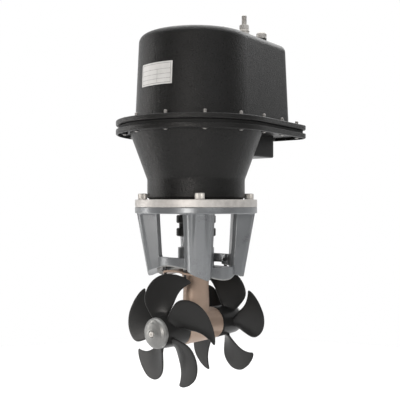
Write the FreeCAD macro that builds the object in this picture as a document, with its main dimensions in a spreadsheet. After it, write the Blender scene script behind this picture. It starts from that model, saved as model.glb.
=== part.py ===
import FreeCAD, Part
import math, os, re
import Sketcher
from FreeCAD import Vector, Placement, Rotation

# Electric bow thruster for a 215 mm tunnel.
# Frame: origin where the vertical motor axis meets the propeller shaft axis,
# +Z up along the motor axis, Y along the tunnel, the front propeller at -Y.

os.makedirs("parts", exist_ok=True)
doc = FreeCAD.newDocument("bow_thruster")
sheet = doc.addObject("Spreadsheet::Sheet", "Params")

CELLS = [
    # tunnel and bracket
    ("tunnel_inner_r", 107.5), ("tunnel_outer_r", 114.0), ("saddle_gasket_t", 1.5),
    ("bracket_flange_r", 113.0), ("bracket_flange_bottom", 208.2), ("bracket_flange_top", 219.6),
    ("bracket_opening_r", 66.0), ("bracket_drum_outer_r", 73.0), ("bracket_drum_inner_r", 64.5),
    ("bracket_band_top", 130.0), ("bracket_side_band_top", 112.0), ("bracket_low", 78.0),
    ("leg_top_outer", 109.3), ("leg_top_inner", 67.5), ("leg_top_half", 22.5), ("leg_top_root_half", 28.5),
    ("leg_low_outer", 86.0), ("leg_low_inner", 60.0), ("leg_low_half", 19.0), ("leg_low_root_half", 22.5),
    ("hub_outer_r", 33.5), ("hub_bore_r", 17.05), ("hub_top", 145.0), ("hub_bar_half", 12.0), ("hub_bar_top", 113.0),
    ("boss_r", 7.5), ("boss_x", 24.0), ("boss_y", 57.0), ("boss_top", 118.0), ("leg_screw_r", 3.0), ("leg_screw_hole_r", 3.3),
    ("flute_r", 9.0), ("flute_axis_r", 114.0), ("flute_half_angle", 8.2), ("flute_tilt", 6.8), ("flute_run_out", 137.0),
    # motor plate and its screws
    ("plate_r", 113.0), ("plate_bottom", 219.6), ("plate_top", 233.3), ("plate_bore_r", 17.0),
    ("plate_bolt_pcr", 99.0), ("plate_bolt_r", 5.0), ("plate_bolt_hole_r", 5.5), ("bolt_thread_hole_r", 5.0),
    ("bolt_head_r", 8.5), ("bolt_head_len", 10.0), ("bolt_washer_r", 8.9), ("bolt_washer_t", 1.2),
    ("bolt_tip", 192.0), ("bolt_socket_r", 4.6), ("bolt_socket_depth", 5.0),
    # lower housing
    ("collar_r", 90.4), ("collar_wall", 3.4), ("collar_bottom", 235.5), ("cone_start", 270.2),
    ("cone_top_r", 120.0), ("flange_low", 351.5), ("flange_web", 357.5), ("flange_low_top", 361.0), ("flange_lip", 3.5),
    ("flange_r", 147.9), ("flange_len", 196.0), ("flange_corner_r", 30.0), ("flange_corner_x", 97.6),
    ("pocket_half", 66.0), ("pocket_end", 160.0), ("pocket_bottom", 315.6), ("pocket_wall", 3.0),
    ("gasket_top", 367.5), ("gasket_r", 141.4), ("gasket_len", 191.5), ("gasket_corner_r", 23.5),
    ("gasket_in_r", 122.0), ("gasket_in_len", 176.0), ("gasket_in_corner_r", 8.0), ("gasket_in_corner_x", 95.0),
    # top cover
    ("cover_flange_top", 376.8), ("cover_top", 534.0), ("cover_wall_r", 112.4), ("cover_wall_len", 178.0),
    ("cover_corner_r", 24.0), ("cover_corner_x", 73.3), ("cover_draft", 2.64), ("cover_wall", 3.0), ("cover_edge_r", 14.0),
    ("stud_r", 3.0), ("stud_hole_r", 3.3), ("stud_top", 384.2), ("stud_bottom", 350.8), ("stud_cap_r", 3.2),
    ("stud_nut_r", 5.6), ("stud_nut_t", 4.4), ("stud_washer_r", 6.0), ("stud_washer_t", 1.2),
    ("label_bottom", 432.2), ("label_top", 471.5), ("label_half", 37.0), ("label_t", 0.5),
    # terminals and cable gland
    ("terminal_x", 42.0), ("terminal_y", 92.0), ("terminal_back_y", 130.0), ("terminal_r", 5.4), ("terminal_free_r", 4.9), ("terminal_tip", 585.8),
    ("terminal_post_r", 12.0), ("terminal_post_top", 550.0), ("terminal_nut_r", 9.8), ("terminal_nut_low", 559.0), ("terminal_nut_top", 567.4),
    ("gland_y", 148.0), ("gland_r", 10.3), ("gland_base_top", 551.0), ("gland_cap_top", 563.2),
    # motor
    ("yoke_r", 76.0), ("yoke_in_r", 70.0), ("yoke_bottom", 246.0), ("yoke_top", 410.0),
    ("armature_r", 54.0), ("armature_low", 262.0), ("armature_high", 352.0), ("shaft_r", 10.0),
    ("commutator_r", 24.0), ("motor_bearing_r", 23.5), ("motor_bearing_low", 221.3), ("motor_bearing_top", 235.3),
    ("top_bearing_r", 20.0), ("top_cap_top", 426.0), ("fit_gap", 0.05),
    # coupling and drive shaft
    ("coupling_r", 36.5), ("coupling_top", 204.5), ("coupling_mid_top", 190.0), ("coupling_mid_low", 180.6), ("coupling_low", 166.0),
    ("coupling_rubber_r", 31.5), ("coupling_hub_r", 19.0), ("drive_shaft_r", 8.5),
    # gear leg
    ("torpedo_r", 29.7), ("torpedo_half", 46.0), ("torpedo_bore_r", 24.0), ("strut_x", 21.5), ("strut_y", 27.3),
    ("neck_r", 17.0), ("neck_top", 143.0), ("leg_plate_in_r", 103.3), ("leg_plate_out_r", 107.3), ("leg_plate_x", 36.0), ("leg_plate_y", 63.0),
    ("leg_bore_r", 16.0), ("neck_bore_r", 13.5),
    # propeller shaft and propellers
    ("prop_shaft_r", 8.0), ("prop_shaft_half", 100.0), ("prop_bearing_r", 15.0), ("prop_tip_r", 102.3),
    ("prop_hub_in", 47.0), ("prop_hub_out", 103.0), ("prop_hub_r", 29.5), ("prop_hub_end_r", 27.5),
    ("prop_centre", 78.0), ("prop_pitch", 156.4), ("prop_blade_t", 4.2), ("prop_blade_tip_t", 2.6),
    ("prop_cavity_r", 20.5), ("prop_cavity_floor", 84.0), ("pin_r", 3.0), ("pin_y", 52.0), ("pin_half", 21.0),
    ("anode_tip", 117.0), ("anode_r", 27.3),
    # bevel gears
    ("pinion_teeth", 12), ("crown_teeth", 18), ("crown_pitch_r", 20.0), ("gear_face", 9.0),
]
P = {}
for i, (name, value) in enumerate(CELLS, start=1):
    sheet.set("A%d" % i, name)
    sheet.set("B%d" % i, repr(value))
    sheet.setAlias("B%d" % i, name)
    P[name] = float(value)
doc.recompute()

WORD = re.compile(r"[A-Za-z_][A-Za-z_0-9]*")


def ex(text):
    """Turn an expression in cell names into one that the document reads."""
    return WORD.sub(lambda m: "Params." + m.group(0) if m.group(0) in P else m.group(0), str(text))


def val(text):
    """The number that an expression in cell names stands for (sums, products and quotients)."""
    s = WORD.sub(lambda m: repr(P[m.group(0)]) if m.group(0) in P else m.group(0), str(text)).replace(" ", "")
    pos = [0]

    def peek():
        return s[pos[0]] if pos[0] < len(s) else ""

    def atom():
        if peek() == "(":
            pos[0] += 1
            v = total()
            pos[0] += 1
            return v
        if peek() == "-":
            pos[0] += 1
            return -atom()
        if peek() == "+":
            pos[0] += 1
            return atom()
        m = re.compile(r"[0-9.]+(?:e-?[0-9]+)?").match(s, pos[0])
        pos[0] = m.end()
        return float(m.group(0))

    def product():
        v = atom()
        while peek() in ("*", "/") and peek():
            op = peek()
            pos[0] += 1
            w = atom()
            v = v * w if op == "*" else v / w
        return v

    def total():
        v = product()
        while peek() in ("+", "-") and peek():
            op = peek()
            pos[0] += 1
            w = product()
            v = v + w if op == "+" else v - w
        return v

    return total()


NODES = []


def node(obj, label):
    obj.Label = label
    NODES.append(obj)
    return obj


def bind(obj, prop, text):
    obj.setExpression(prop, ex(text))


def place(obj, x=0, y=0, z=0, rot=None):
    obj.Placement = Placement(Vector(val(x), val(y), val(z)), rot or Rotation())
    for axis, text in (("x", x), ("y", y), ("z", z)):
        if isinstance(text, str):
            bind(obj, "Placement.Base." + axis, text)


def cyl(name, r, length, x=0, y=0, z=0, rot=None):
    o = doc.addObject("Part::Cylinder", name)
    o.Radius, o.Height = val(r), val(length)
    bind(o, "Radius", r)
    bind(o, "Height", length)
    place(o, x, y, z, rot)
    return o


def box(name, lx, ly, lz, x=0, y=0, z=0, rot=None):
    o = doc.addObject("Part::Box", name)
    o.Length, o.Width, o.Height = val(lx), val(ly), val(lz)
    bind(o, "Length", lx)
    bind(o, "Width", ly)
    bind(o, "Height", lz)
    place(o, x, y, z, rot)
    return o


def hexa(name, r, length, x=0, y=0, z=0, rot=None):
    o = doc.addObject("Part::Prism", name)
    o.Polygon = 6
    o.Circumradius, o.Height = val(r), val(length)
    bind(o, "Circumradius", r)
    bind(o, "Height", length)
    place(o, x, y, z, rot)
    return o


def cut(name, base, tool):
    o = doc.addObject("Part::Cut", name)
    o.Base, o.Tool = base, tool
    return o


def fuse(name, shapes):
    o = doc.addObject("Part::MultiFuse", name)
    o.Shapes = shapes
    return o


def common(name, a, b):
    o = doc.addObject("Part::MultiCommon", name)
    o.Shapes = [a, b]
    return o


def group(name, items):
    o = doc.addObject("Part::Compound", name)
    o.Links = items
    return o


def plane(body, role):
    return [f for f in body.Origin.OriginFeatures if f.Role == role][0]


def sketch_on(body, name, role, offset=0):
    s = body.newObject("Sketcher::SketchObject", name)
    s.AttachmentSupport = [(plane(body, role), "")]
    s.MapMode = "FlatFace"
    if offset != 0:
        s.AttachmentOffset = Placement(Vector(0, 0, val(offset)), Rotation())
        if isinstance(offset, str):
            bind(s, "AttachmentOffset.Base.z", offset)
    return s


def polygon(s, pts):
    """A closed profile whose corners are bound to cells."""
    xy = [(val(a), val(b)) for a, b in pts]
    n = len(pts)
    for i in range(n):
        a, b = xy[i], xy[(i + 1) % n]
        s.addGeometry(Part.LineSegment(Vector(a[0], a[1], 0), Vector(b[0], b[1], 0)), False)
    for i in range(n):
        s.addConstraint(Sketcher.Constraint("Coincident", i, 2, (i + 1) % n, 1))
    for i in range(n):
        for kind, k in (("DistanceX", 0), ("DistanceY", 1)):
            c = s.addConstraint(Sketcher.Constraint(kind, -1, 1, i, 1, xy[i][k]))
            text = pts[i][k]
            if isinstance(text, str):
                s.setExpression("Constraints[%d]" % c, ex(text))


def turned(name, axis, pts):
    """A piece turned about Z or Y from a closed profile of (radius, height) corners."""
    body = doc.addObject("PartDesign::Body", name)
    s = sketch_on(body, name + "_profile", "XZ_Plane" if axis == "Z" else "XY_Plane")
    polygon(s, pts)
    rev = body.newObject("PartDesign::Revolution", name + "_turn")
    rev.Profile = s
    rev.ReferenceAxis = (s, ["V_Axis"])
    rev.Angle = 360
    s.Visibility = False
    return body


def circles(s, items):
    """Circles of (x, y, r), each bound to cells."""
    for x, y, r in items:
        g = s.addGeometry(Part.Circle(Vector(val(x), val(y), 0), Vector(0, 0, 1), val(r)), False)
        c = s.addConstraint(Sketcher.Constraint("Radius", g, val(r)))
        if isinstance(r, str):
            s.setExpression("Constraints[%d]" % c, ex(r))
        for kind, text in (("DistanceX", x), ("DistanceY", y)):
            c = s.addConstraint(Sketcher.Constraint(kind, -1, 1, g, 3, val(text)))
            if isinstance(text, str):
                s.setExpression("Constraints[%d]" % c, ex(text))


def d_profile(s, r, length, corner_r, corner_x):
    """The plan of the cover: a circle about the origin drawn out to +Y with two
    tangent sides, two round corners and a flat end."""
    R, L, rc, cx = val(r), val(length), val(corner_r), val(corner_x)
    cy = L - rc
    d = math.hypot(cx, cy)
    th = math.atan2(cy, cx) - math.acos((R - rc) / d)
    t1 = Vector(R * math.cos(th), R * math.sin(th), 0)
    t2 = Vector(cx + rc * math.cos(th), cy + rc * math.sin(th), 0)
    e1, e2 = Vector(cx, L, 0), Vector(-cx, L, 0)
    t3, t4 = Vector(-t2.x, t2.y, 0), Vector(-t1.x, t1.y, 0)
    z = Vector(0, 0, 1)
    arc = lambda c, rad, a0, a1: Part.ArcOfCircle(Part.Circle(c, z, rad), a0, a1)
    big = s.addGeometry(arc(Vector(0, 0, 0), R, math.pi - th, 2 * math.pi + th), False)
    side = s.addGeometry(Part.LineSegment(t1, t2), False)
    c1 = s.addGeometry(arc(Vector(cx, cy, 0), rc, th, math.pi / 2), False)
    end = s.addGeometry(Part.LineSegment(e1, e2), False)
    c2 = s.addGeometry(arc(Vector(-cx, cy, 0), rc, math.pi / 2, math.pi - th), False)
    side2 = s.addGeometry(Part.LineSegment(t3, t4), False)
    add = s.addConstraint
    add(Sketcher.Constraint("Coincident", big, 3, -1, 1))
    for a, pa, b, pb in ((big, 2, side, 1), (side, 2, c1, 1), (c1, 2, end, 1), (end, 2, c2, 1), (c2, 2, side2, 1), (side2, 2, big, 1)):
        add(Sketcher.Constraint("Tangent", a, pa, b, pb))
    add(Sketcher.Constraint("Horizontal", end))
    for g, text, v in ((big, r, R), (c1, corner_r, rc), (c2, corner_r, rc)):
        c = add(Sketcher.Constraint("Radius", g, v))
        if isinstance(text, str):
            s.setExpression("Constraints[%d]" % c, ex(text))
    c = add(Sketcher.Constraint("DistanceX", -1, 1, c1, 3, cx))
    s.setExpression("Constraints[%d]" % c, ex(corner_x)) if isinstance(corner_x, str) else None
    c = add(Sketcher.Constraint("DistanceX", c2, 3, -1, 1, cx))
    s.setExpression("Constraints[%d]" % c, ex(corner_x)) if isinstance(corner_x, str) else None
    c = add(Sketcher.Constraint("DistanceY", -1, 1, end, 1, L))
    s.setExpression("Constraints[%d]" % c, ex(length)) if isinstance(length, str) else None


def pad(body, name, s, length, taper=None, reverse=False):
    p = body.newObject("PartDesign::Pad", name)
    p.Profile = s
    p.Length = val(length)
    bind(p, "Length", length)
    if taper is not None:
        p.TaperAngle = val(taper)
        bind(p, "TaperAngle", taper)
    p.Reversed = reverse
    s.Visibility = False
    return p


def pocket(body, name, s, length=None, reverse=False, taper=None):
    p = body.newObject("PartDesign::Pocket", name)
    p.Profile = s
    if length is None:
        p.Type = 1
        p.Midplane = True
    else:
        p.Length = val(length)
        bind(p, "Length", length)
    if taper is not None:
        p.TaperAngle = val(taper)
        bind(p, "TaperAngle", taper)
    p.Reversed = reverse
    s.Visibility = False
    return p


def polar(body, name, feature, count, axis_role="Z_Axis", angle=360):
    pp = body.newObject("PartDesign::PolarPattern", name)
    pp.Originals = [feature]
    pp.Axis = (plane(body, axis_role), [""])
    pp.Angle = angle
    pp.Occurrences = count
    body.Tip = pp
    return pp


def edges_at(shape, test):
    return ["Edge%d" % (i + 1) for i, e in enumerate(shape.Edges) if test(e)]


def level(z, tol=0.02):
    return lambda e: abs(e.BoundBox.ZMin - z) < tol and abs(e.BoundBox.ZMax - z) < tol


def rim(body, name, test, size, kind="Fillet"):
    """Round or bevel the edges of a body's tip that pass the test."""
    doc.recompute()
    base = body.Tip
    names = edges_at(base.Shape, test)
    f = body.newObject("PartDesign::" + kind, name)
    f.Base = (base, names)
    if kind == "Fillet":
        f.Radius = val(size)
        bind(f, "Radius", size)
    else:
        f.Size = val(size)
        bind(f, "Size", size)
    body.Tip = f
    return f


BOLT_ANGLES = (45, 135, 225, 315)
YR = Rotation(Vector(1, 0, 0), -90)   # turns a piece standing on +Z to point along +Y
HALF_TURN = Rotation(Vector(0, 0, 1), 180)


def at(r, deg):
    return val(r) * math.cos(math.radians(deg)), val(r) * math.sin(math.radians(deg))


# ---------------------------------------------------------------- motor plate
plate = turned("motor_plate", "Z", [
    ("plate_bore_r", "plate_bottom"), ("plate_r - 0.8", "plate_bottom"), ("plate_r", "plate_bottom + 0.8"),
    ("plate_r", "plate_top - 0.8"), ("plate_r - 0.8", "plate_top"), ("motor_bearing_r", "plate_top"),
    ("motor_bearing_r", "motor_bearing_low"), ("plate_bore_r", "motor_bearing_low")])
s = sketch_on(plate, "plate_hole", "XY_Plane", "plate_bottom - 1")
circles(s, [("plate_bolt_pcr * 0.70710678", "plate_bolt_pcr * 0.70710678", "plate_bolt_hole_r")])
h = pocket(plate, "plate_hole_cut", s, "plate_top - plate_bottom + 2", reverse=True)
polar(plate, "plate_holes", h, 4)
node(plate, "motor_plate")

# -------------------------------------------------------------- motor bracket
# Cast bracket: round flange on top, four tapered legs at 45 degrees to the
# tunnel, a drum that stands on the tunnel, and a hub for the gear leg's neck.
flange = turned("bracket_flange", "Z", [
    ("bracket_opening_r", "bracket_flange_bottom"), ("bracket_flange_r - 0.5", "bracket_flange_bottom"),
    ("bracket_flange_r", "bracket_flange_bottom + 0.5"), ("bracket_flange_r", "bracket_flange_top - 0.6"),
    ("bracket_flange_r - 0.6", "bracket_flange_top"), ("bracket_opening_r", "bracket_flange_top")])
drum = turned("bracket_drum", "Z", [
    ("bracket_drum_inner_r", "bracket_low"), ("bracket_drum_outer_r", "bracket_low"),
    ("bracket_drum_outer_r", "bracket_band_top"), ("bracket_drum_inner_r", "bracket_band_top")])
side_gap = box("side_gap", 200, 60, 30, -100, -30, "bracket_side_band_top")
drum_cut = cut("bracket_drum_cut", drum, side_gap)
hub = cyl("bracket_hub", "hub_outer_r", "hub_top - bracket_low", z="bracket_low")
bar = box("bracket_bar", 140, "2 * hub_bar_half", "hub_bar_top - bracket_low", -70, "-hub_bar_half", "bracket_low")
bar.Placement = Placement(Vector(-68, -12, val("bracket_low")), Rotation())
bar.Length = 136
bosses = []
for sx in (-1, 1):
    for sy in (-1, 1):
        bosses.append(cyl("bracket_boss", "boss_r", "boss_top - bracket_low", "%d * boss_x" % sx, "%d * boss_y" % sy, "bracket_low"))
leg = doc.addObject("PartDesign::Body", "bracket_leg")


def leg_sketch(name, z, out, inn, half, root):
    s = sketch_on(leg, name, "XY_Plane", z)
    polygon(s, [(inn, "-(%s) + 5" % root), ("(%s) + 6" % inn, "-(%s)" % root), ("(%s) - 9" % out, "-(%s)" % half),
                (out + " - 1.5", "-(%s) + 4.5" % half), (out, "-(%s) / 3" % half), (out, "(%s) / 3" % half),
                (out + " - 1.5", "(%s) - 4.5" % half), ("(%s) - 9" % out, half), ("(%s) + 6" % inn, root), (inn, "(%s) - 5" % root)])
    return s


s1 = leg_sketch("leg_top_section", "bracket_flange_bottom", "leg_top_outer", "leg_top_inner", "leg_top_half", "leg_top_root_half")
s2 = leg_sketch("leg_low_section", "bracket_low", "leg_low_outer", "leg_low_inner", "leg_low_half", "leg_low_root_half")
lo = leg.newObject("PartDesign::AdditiveLoft", "leg_loft")
lo.Profile = s1
lo.Sections = [s2]
lo.Ruled = True
leg.Placement = Placement(Vector(0, 0, 0), Rotation(Vector(0, 0, 1), 45))
leg_copies = [leg]
for a in BOLT_ANGLES[1:]:
    c = doc.addObject("Part::Compound", "bracket_leg_copy")
    c.Links = [leg]
    c.Placement = Placement(Vector(0, 0, 0), Rotation(Vector(0, 0, 1), a - 45))
    leg_copies.append(c)
solid = fuse("bracket_solid", [flange, drum_cut, hub, bar] + bosses + leg_copies)
tunnel = cyl("tunnel_cut", "tunnel_outer_r + saddle_gasket_t", 300, 0, -150, 0, YR)
bore = cyl("hub_bore", "hub_bore_r", "hub_top", z=50)
neg = [tunnel, bore]
for a in BOLT_ANGLES:
    x, y = at("plate_bolt_pcr", a)
    neg.append(cyl("bolt_hole", "bolt_thread_hole_r", "bracket_flange_top - bolt_tip + 4", x, y, "bolt_tip - 2"))
    # two shallow flutes up the outer face of each leg, running out as the leg narrows
    for k in (-1, 1):
        fr = val("flute_axis_r")
        fx, fy = at(fr, a + k * val("flute_half_angle"))
        tilt = Rotation(Vector(-math.sin(math.radians(a)), math.cos(math.radians(a)), 0), val("flute_tilt"))
        f = cyl("flute", "flute_r", 100, 0, 0, 0)
        top = Vector(fx, fy, val("bracket_flange_bottom"))
        f.Placement = Placement(top - tilt.multVec(Vector(0, 0, 100)), tilt)
        neg.append(f)
for sx in (-1, 1):
    for sy in (-1, 1):
        neg.append(cyl("boss_hole", "leg_screw_hole_r", 80, "%d * boss_x" % sx, "%d * boss_y" % sy, 70))
        neg.append(cyl("boss_face", 5.8, 12, "%d * boss_x" % sx, "%d * boss_y" % sy, "boss_top"))
bracket = cut("motor_bracket", solid, fuse("bracket_voids", neg))
node(bracket, "motor_bracket")

# gasket between the bracket and the tunnel, the shape of the bracket's foot
foot = cyl("foot_r", "tunnel_outer_r + saddle_gasket_t", 300, 0, -150, 0, YR)
foot_in = cyl("foot_in_r", "tunnel_outer_r", 300, 0, -150, 0, YR)
foot_shell = cut("foot_shell", foot, foot_in)
foot_ring = turned("foot_ring", "Z", [("bracket_drum_inner_r", 60), ("bracket_drum_outer_r - 1.5", 60), ("bracket_drum_outer_r - 1.5", 140), ("bracket_drum_inner_r", 140)])
foot_hub = turned("foot_hub", "Z", [("hub_bore_r + 0.4", 60), ("hub_outer_r", 60), ("hub_outer_r", 140), ("hub_bore_r + 0.4", 140)])
foot_bars = [box("foot_bar", "bracket_drum_inner_r + 2 - hub_outer_r + 2", "2 * hub_bar_half", 80, x, "-hub_bar_half", 60) for x in ("hub_outer_r - 2", "-bracket_drum_inner_r - 2")]
foot_pads = [cyl("foot_pad", "boss_r", 80, "%d * boss_x" % sx, "%d * boss_y" % sy, 60) for sx in (-1, 1) for sy in (-1, 1)]
foot_plan = common("foot_plan", foot_shell, fuse("foot_print", [foot_ring, foot_hub] + foot_bars + foot_pads))
foot_holes = [cyl("foot_hole", "leg_screw_hole_r", 100, "%d * boss_x" % sx, "%d * boss_y" % sy, 60) for sx in (-1, 1) for sy in (-1, 1)]
node(cut("saddle_gasket", foot_plan, fuse("foot_holes", foot_holes)), "saddle_gasket")

# ------------------------------------------------- socket screws of the plate
items, washers = [], []
for a in BOLT_ANGLES:
    x, y = at("plate_bolt_pcr", a)
    head = cyl("head", "bolt_head_r", "bolt_head_len", x, y, "plate_top + bolt_washer_t")
    shank = cyl("shank", "plate_bolt_r", "plate_top + bolt_washer_t - bolt_tip", x, y, "bolt_tip")
    sock = hexa("sock", "bolt_socket_r", "bolt_socket_depth + 1", x, y, "plate_top + bolt_washer_t + bolt_head_len - bolt_socket_depth")
    b = cut("plate_bolt", fuse("bolt_blank", [head, shank]), sock)
    items.append(b)
    wo = cyl("washer_o", "bolt_washer_r", "bolt_washer_t", x, y, "plate_top")
    wi = cyl("washer_i", "plate_bolt_r + 0.2", "bolt_washer_t + 2", x, y, "plate_top - 1")
    washers.append(cut("plate_washer", wo, wi))
node(group("plate_bolts", items), "plate_bolts")
node(group("plate_washers", washers), "plate_washers")

# --------------------------------------------------------------- lower housing
outer = doc.addObject("PartDesign::Body", "housing_outer")
# the flange is a web with a lip turned down round its edge, so the nuts sit in the recess
s = sketch_on(outer, "housing_flange", "XY_Plane", "flange_low")
d_profile(s, "flange_r", "flange_len", "flange_corner_r", "flange_corner_x")
pad(outer, "housing_flange_pad", s, "flange_low_top - flange_low")
rim(outer, "housing_rim", level(P["flange_low"]), "2.4")
rim(outer, "housing_rim_top", level(P["flange_low_top"]), "1.2")
s = sketch_on(outer, "housing_recess", "XY_Plane", "flange_low - 1")
d_profile(s, "flange_r - flange_lip", "flange_len - flange_lip", "flange_corner_r - flange_lip", "flange_corner_x")
pocket(outer, "housing_recess_cut", s, "flange_web - flange_low + 1", reverse=True)
s = sketch_on(outer, "housing_profile", "XZ_Plane")
polygon(s, [(0, "collar_bottom"), ("collar_r - 2.2", "collar_bottom"), ("collar_r - 0.6", "collar_bottom + 0.7"), ("collar_r", "collar_bottom + 2.4"),
            ("collar_r", "cone_start - 2"), ("collar_r + 0.5", "cone_start + 1.2"), ("cone_top_r - 1.6", "flange_low - 5.5"), ("cone_top_r + 2.2", "flange_web - 1.2"),
            ("cone_top_r + 3.8", "flange_web + 0.5"), (0, "flange_web + 0.5")])
rev = outer.newObject("PartDesign::Revolution", "housing_turn")
rev.Profile = s
rev.ReferenceAxis = (s, ["V_Axis"])
outer.Tip = rev
s = sketch_on(outer, "pocket_plan", "XY_Plane", "pocket_bottom")
polygon(s, [("-pocket_half", 40), ("pocket_half", 40), ("pocket_half", "pocket_end"), ("-pocket_half", "pocket_end")])
pad(outer, "pocket_pad", s, "flange_web - pocket_bottom + 0.5")
rim(outer, "pocket_edges", lambda e: len(e.Vertexes) == 2 and abs(e.Vertexes[0].Z - e.Vertexes[1].Z) > 20 and all(abs(v.Y - P["pocket_end"]) < 0.01 for v in e.Vertexes), "8")
rim(outer, "pocket_floor_edges", lambda e: level(P["pocket_bottom"])(e) and (e.BoundBox.YMax > 110), "3")
inner = turned("housing_inner", "Z", [
    (0, "collar_bottom - 1"), ("collar_r - collar_wall - 3", "collar_bottom - 1"), ("collar_r - collar_wall - 3", "collar_bottom + 3"),
    ("collar_r - collar_wall", "collar_bottom + 4"), ("collar_r - collar_wall", "cone_start + 0.5"),
    ("cone_top_r - collar_wall - 3", "flange_low - 4"), ("cone_top_r - collar_wall - 0.6", "flange_web"), ("cone_top_r - collar_wall - 0.6", "flange_low_top + 1"), (0, "flange_low_top + 1")])
pocket_in = box("pocket_in", "2 * (pocket_half - pocket_wall)", "pocket_end - pocket_wall - 60", 60,
                "-(pocket_half - pocket_wall)", 60, "pocket_bottom + pocket_wall")
# six studs a twelfth of a turn or a little less apart round the front, and four down each side
STUDS = [(133.6, 29.2), (124.4, 98.1), (114.2, 163.6), (42.0, 186.0), (-133.0, 24.0), (-124.4, 98.1), (-114.2, 163.6), (-42.0, 186.0)]
for a in (-12.8, -42.2, -71.7, -101.0, -130.4, -159.8):
    STUDS.append((131.0 * math.cos(math.radians(a)), 131.0 * math.sin(math.radians(a))))
stud_voids = [cyl("stud_void", "stud_hole_r", 40, x, y, 350) for x, y in STUDS]
housing = cut("lower_housing", outer, fuse("housing_voids", [inner, pocket_in] + stud_voids))
node(housing, "lower_housing")

node(turned("collar_seal", "Z", [("yoke_r + 4", "plate_top"), ("collar_r - 3.2", "plate_top"), ("collar_r - 3.2", "collar_bottom"), ("yoke_r + 4", "collar_bottom")]), "collar_seal")

# ---------------------------------------------------------------- flange seal
seal = doc.addObject("PartDesign::Body", "seal_body")
s = sketch_on(seal, "seal_plan", "XY_Plane", "flange_low_top")
d_profile(s, "gasket_r", "gasket_len", "gasket_corner_r", "flange_corner_x")
pad(seal, "seal_pad", s, "gasket_top - flange_low_top")
s = sketch_on(seal, "seal_inner", "XY_Plane", "flange_low_top - 1")
d_profile(s, "gasket_in_r", "gasket_in_len", "gasket_in_corner_r", "gasket_in_corner_x")
pocket(seal, "seal_pocket", s, "gasket_top - flange_low_top + 2", reverse=True)
rim(seal, "seal_round", lambda e: e.BoundBox.XMax - e.BoundBox.XMin > 3 and (level(P["gasket_top"])(e) or level(P["flange_low_top"])(e))
    and max(math.hypot(v.X, v.Y) for v in e.Vertexes) > 130, "0.8")
seal_holes = [cyl("seal_hole", "stud_hole_r", 40, x, y, 350) for x, y in STUDS]
node(cut("cover_gasket", seal, fuse("seal_holes", seal_holes)), "cover_gasket")

# ------------------------------------------------------------------ top cover
cover = doc.addObject("PartDesign::Body", "cover_body")
s = sketch_on(cover, "cover_flange_plan", "XY_Plane", "gasket_top")
d_profile(s, "flange_r", "flange_len", "flange_corner_r", "flange_corner_x")
pad(cover, "cover_flange_pad", s, "cover_flange_top - gasket_top")
rim(cover, "cover_flange_bevel", level(P["gasket_top"]), "3")
rim(cover, "cover_flange_round", level(P["cover_flange_top"]), "1.6")
s = sketch_on(cover, "cover_wall_plan", "XY_Plane", "cover_flange_top - 0.5")
d_profile(s, "cover_wall_r", "cover_wall_len", "cover_corner_r", "cover_corner_x")
pad(cover, "cover_wall_pad", s, "cover_top - cover_flange_top + 0.5", taper="-cover_draft")
rim(cover, "cover_edge", level(P["cover_top"]), "cover_edge_r")
s = sketch_on(cover, "cover_inner_plan", "XY_Plane", "gasket_top - 1")
d_profile(s, "cover_wall_r - cover_wall", "cover_wall_len - cover_wall", "cover_corner_r - cover_wall", "cover_corner_x")
pocket(cover, "cover_hollow", s, "cover_top - cover_edge_r - gasket_top + 1", reverse=True, taper="-cover_draft")
s = sketch_on(cover, "cover_roof_plan", "XY_Plane", "cover_top - cover_edge_r - 0.5")
d_profile(s, "cover_wall_r - cover_wall - 14.4", "cover_wall_len - cover_wall - 13.9", "cover_corner_r - cover_wall - 13.9", "cover_corner_x")
pocket(cover, "cover_roof_hollow", s, "cover_edge_r + 0.5 - cover_wall", reverse=True)
s = sketch_on(cover, "cover_stud_holes", "XY_Plane", "gasket_top - 1")
circles(s, [(x, y, "stud_r") for x, y in STUDS])
pocket(cover, "cover_stud_cut", s, "cover_flange_top - gasket_top + 2", reverse=True)
s = sketch_on(cover, "cover_top_holes", "XY_Plane", "cover_top - cover_wall - 1")
circles(s, [("terminal_x", "terminal_y", 9), ("-terminal_x", "terminal_back_y", 9), ("terminal_x", "gland_y", 6)])
pocket(cover, "cover_top_cut", s, "cover_wall + 3", reverse=True)
node(cover, "top_cover")

# ------------------------------------------------- flange studs, nuts, washers
studs, nuts, rings = [], [], []
for x, y in STUDS:
    shank = cyl("stud_shank", "stud_r", "cover_flange_top - stud_bottom", x, y, "stud_bottom")
    tip = cyl("stud_tip", "stud_cap_r", "stud_top - cover_flange_top", x, y, "cover_flange_top")
    hexhole = hexa("stud_socket", 1.8, 4, x, y, "stud_top - 2.5")
    studs.append(cut("stud", fuse("stud_blank", [shank, tip]), hexhole))
    wz = "flange_web - stud_washer_t"
    rings.append(cut("stud_ring", cyl("ring_o", "stud_washer_r", "stud_washer_t", x, y, wz), cyl("ring_i", "stud_r + 0.2", "stud_washer_t + 2", x, y, wz + " - 1")))
    nz = "flange_web - stud_washer_t - stud_nut_t"
    nuts.append(cut("stud_nut", hexa("nut_o", "stud_nut_r", "stud_nut_t", x, y, nz), cyl("nut_i", "stud_r", "stud_nut_t + 2", x, y, nz + " - 1")))
node(group("flange_studs", studs), "flange_studs")
node(group("flange_nuts", nuts), "flange_nuts")
node(group("flange_washers", rings), "flange_washers")

# ------------------------------------------------------------ blank data plate
draft = "0.0461"
r_low = "cover_wall_r - (label_bottom - cover_flange_top) * %s" % draft
r_high = "cover_wall_r - (label_top - cover_flange_top) * %s" % draft
label = turned("label_shell", "Z", [("%s + 0.02" % r_low, "label_bottom"), ("%s + label_t" % r_low, "label_bottom"),
                                    ("%s + label_t" % r_high, "label_top"), ("%s + 0.02" % r_high, "label_top")])
label_box = box("label_box", "2 * 36.1", 60, 60, -36.1, -130, "label_bottom - 5")
node(common("data_plate", label, label_box), "data_plate")

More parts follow.
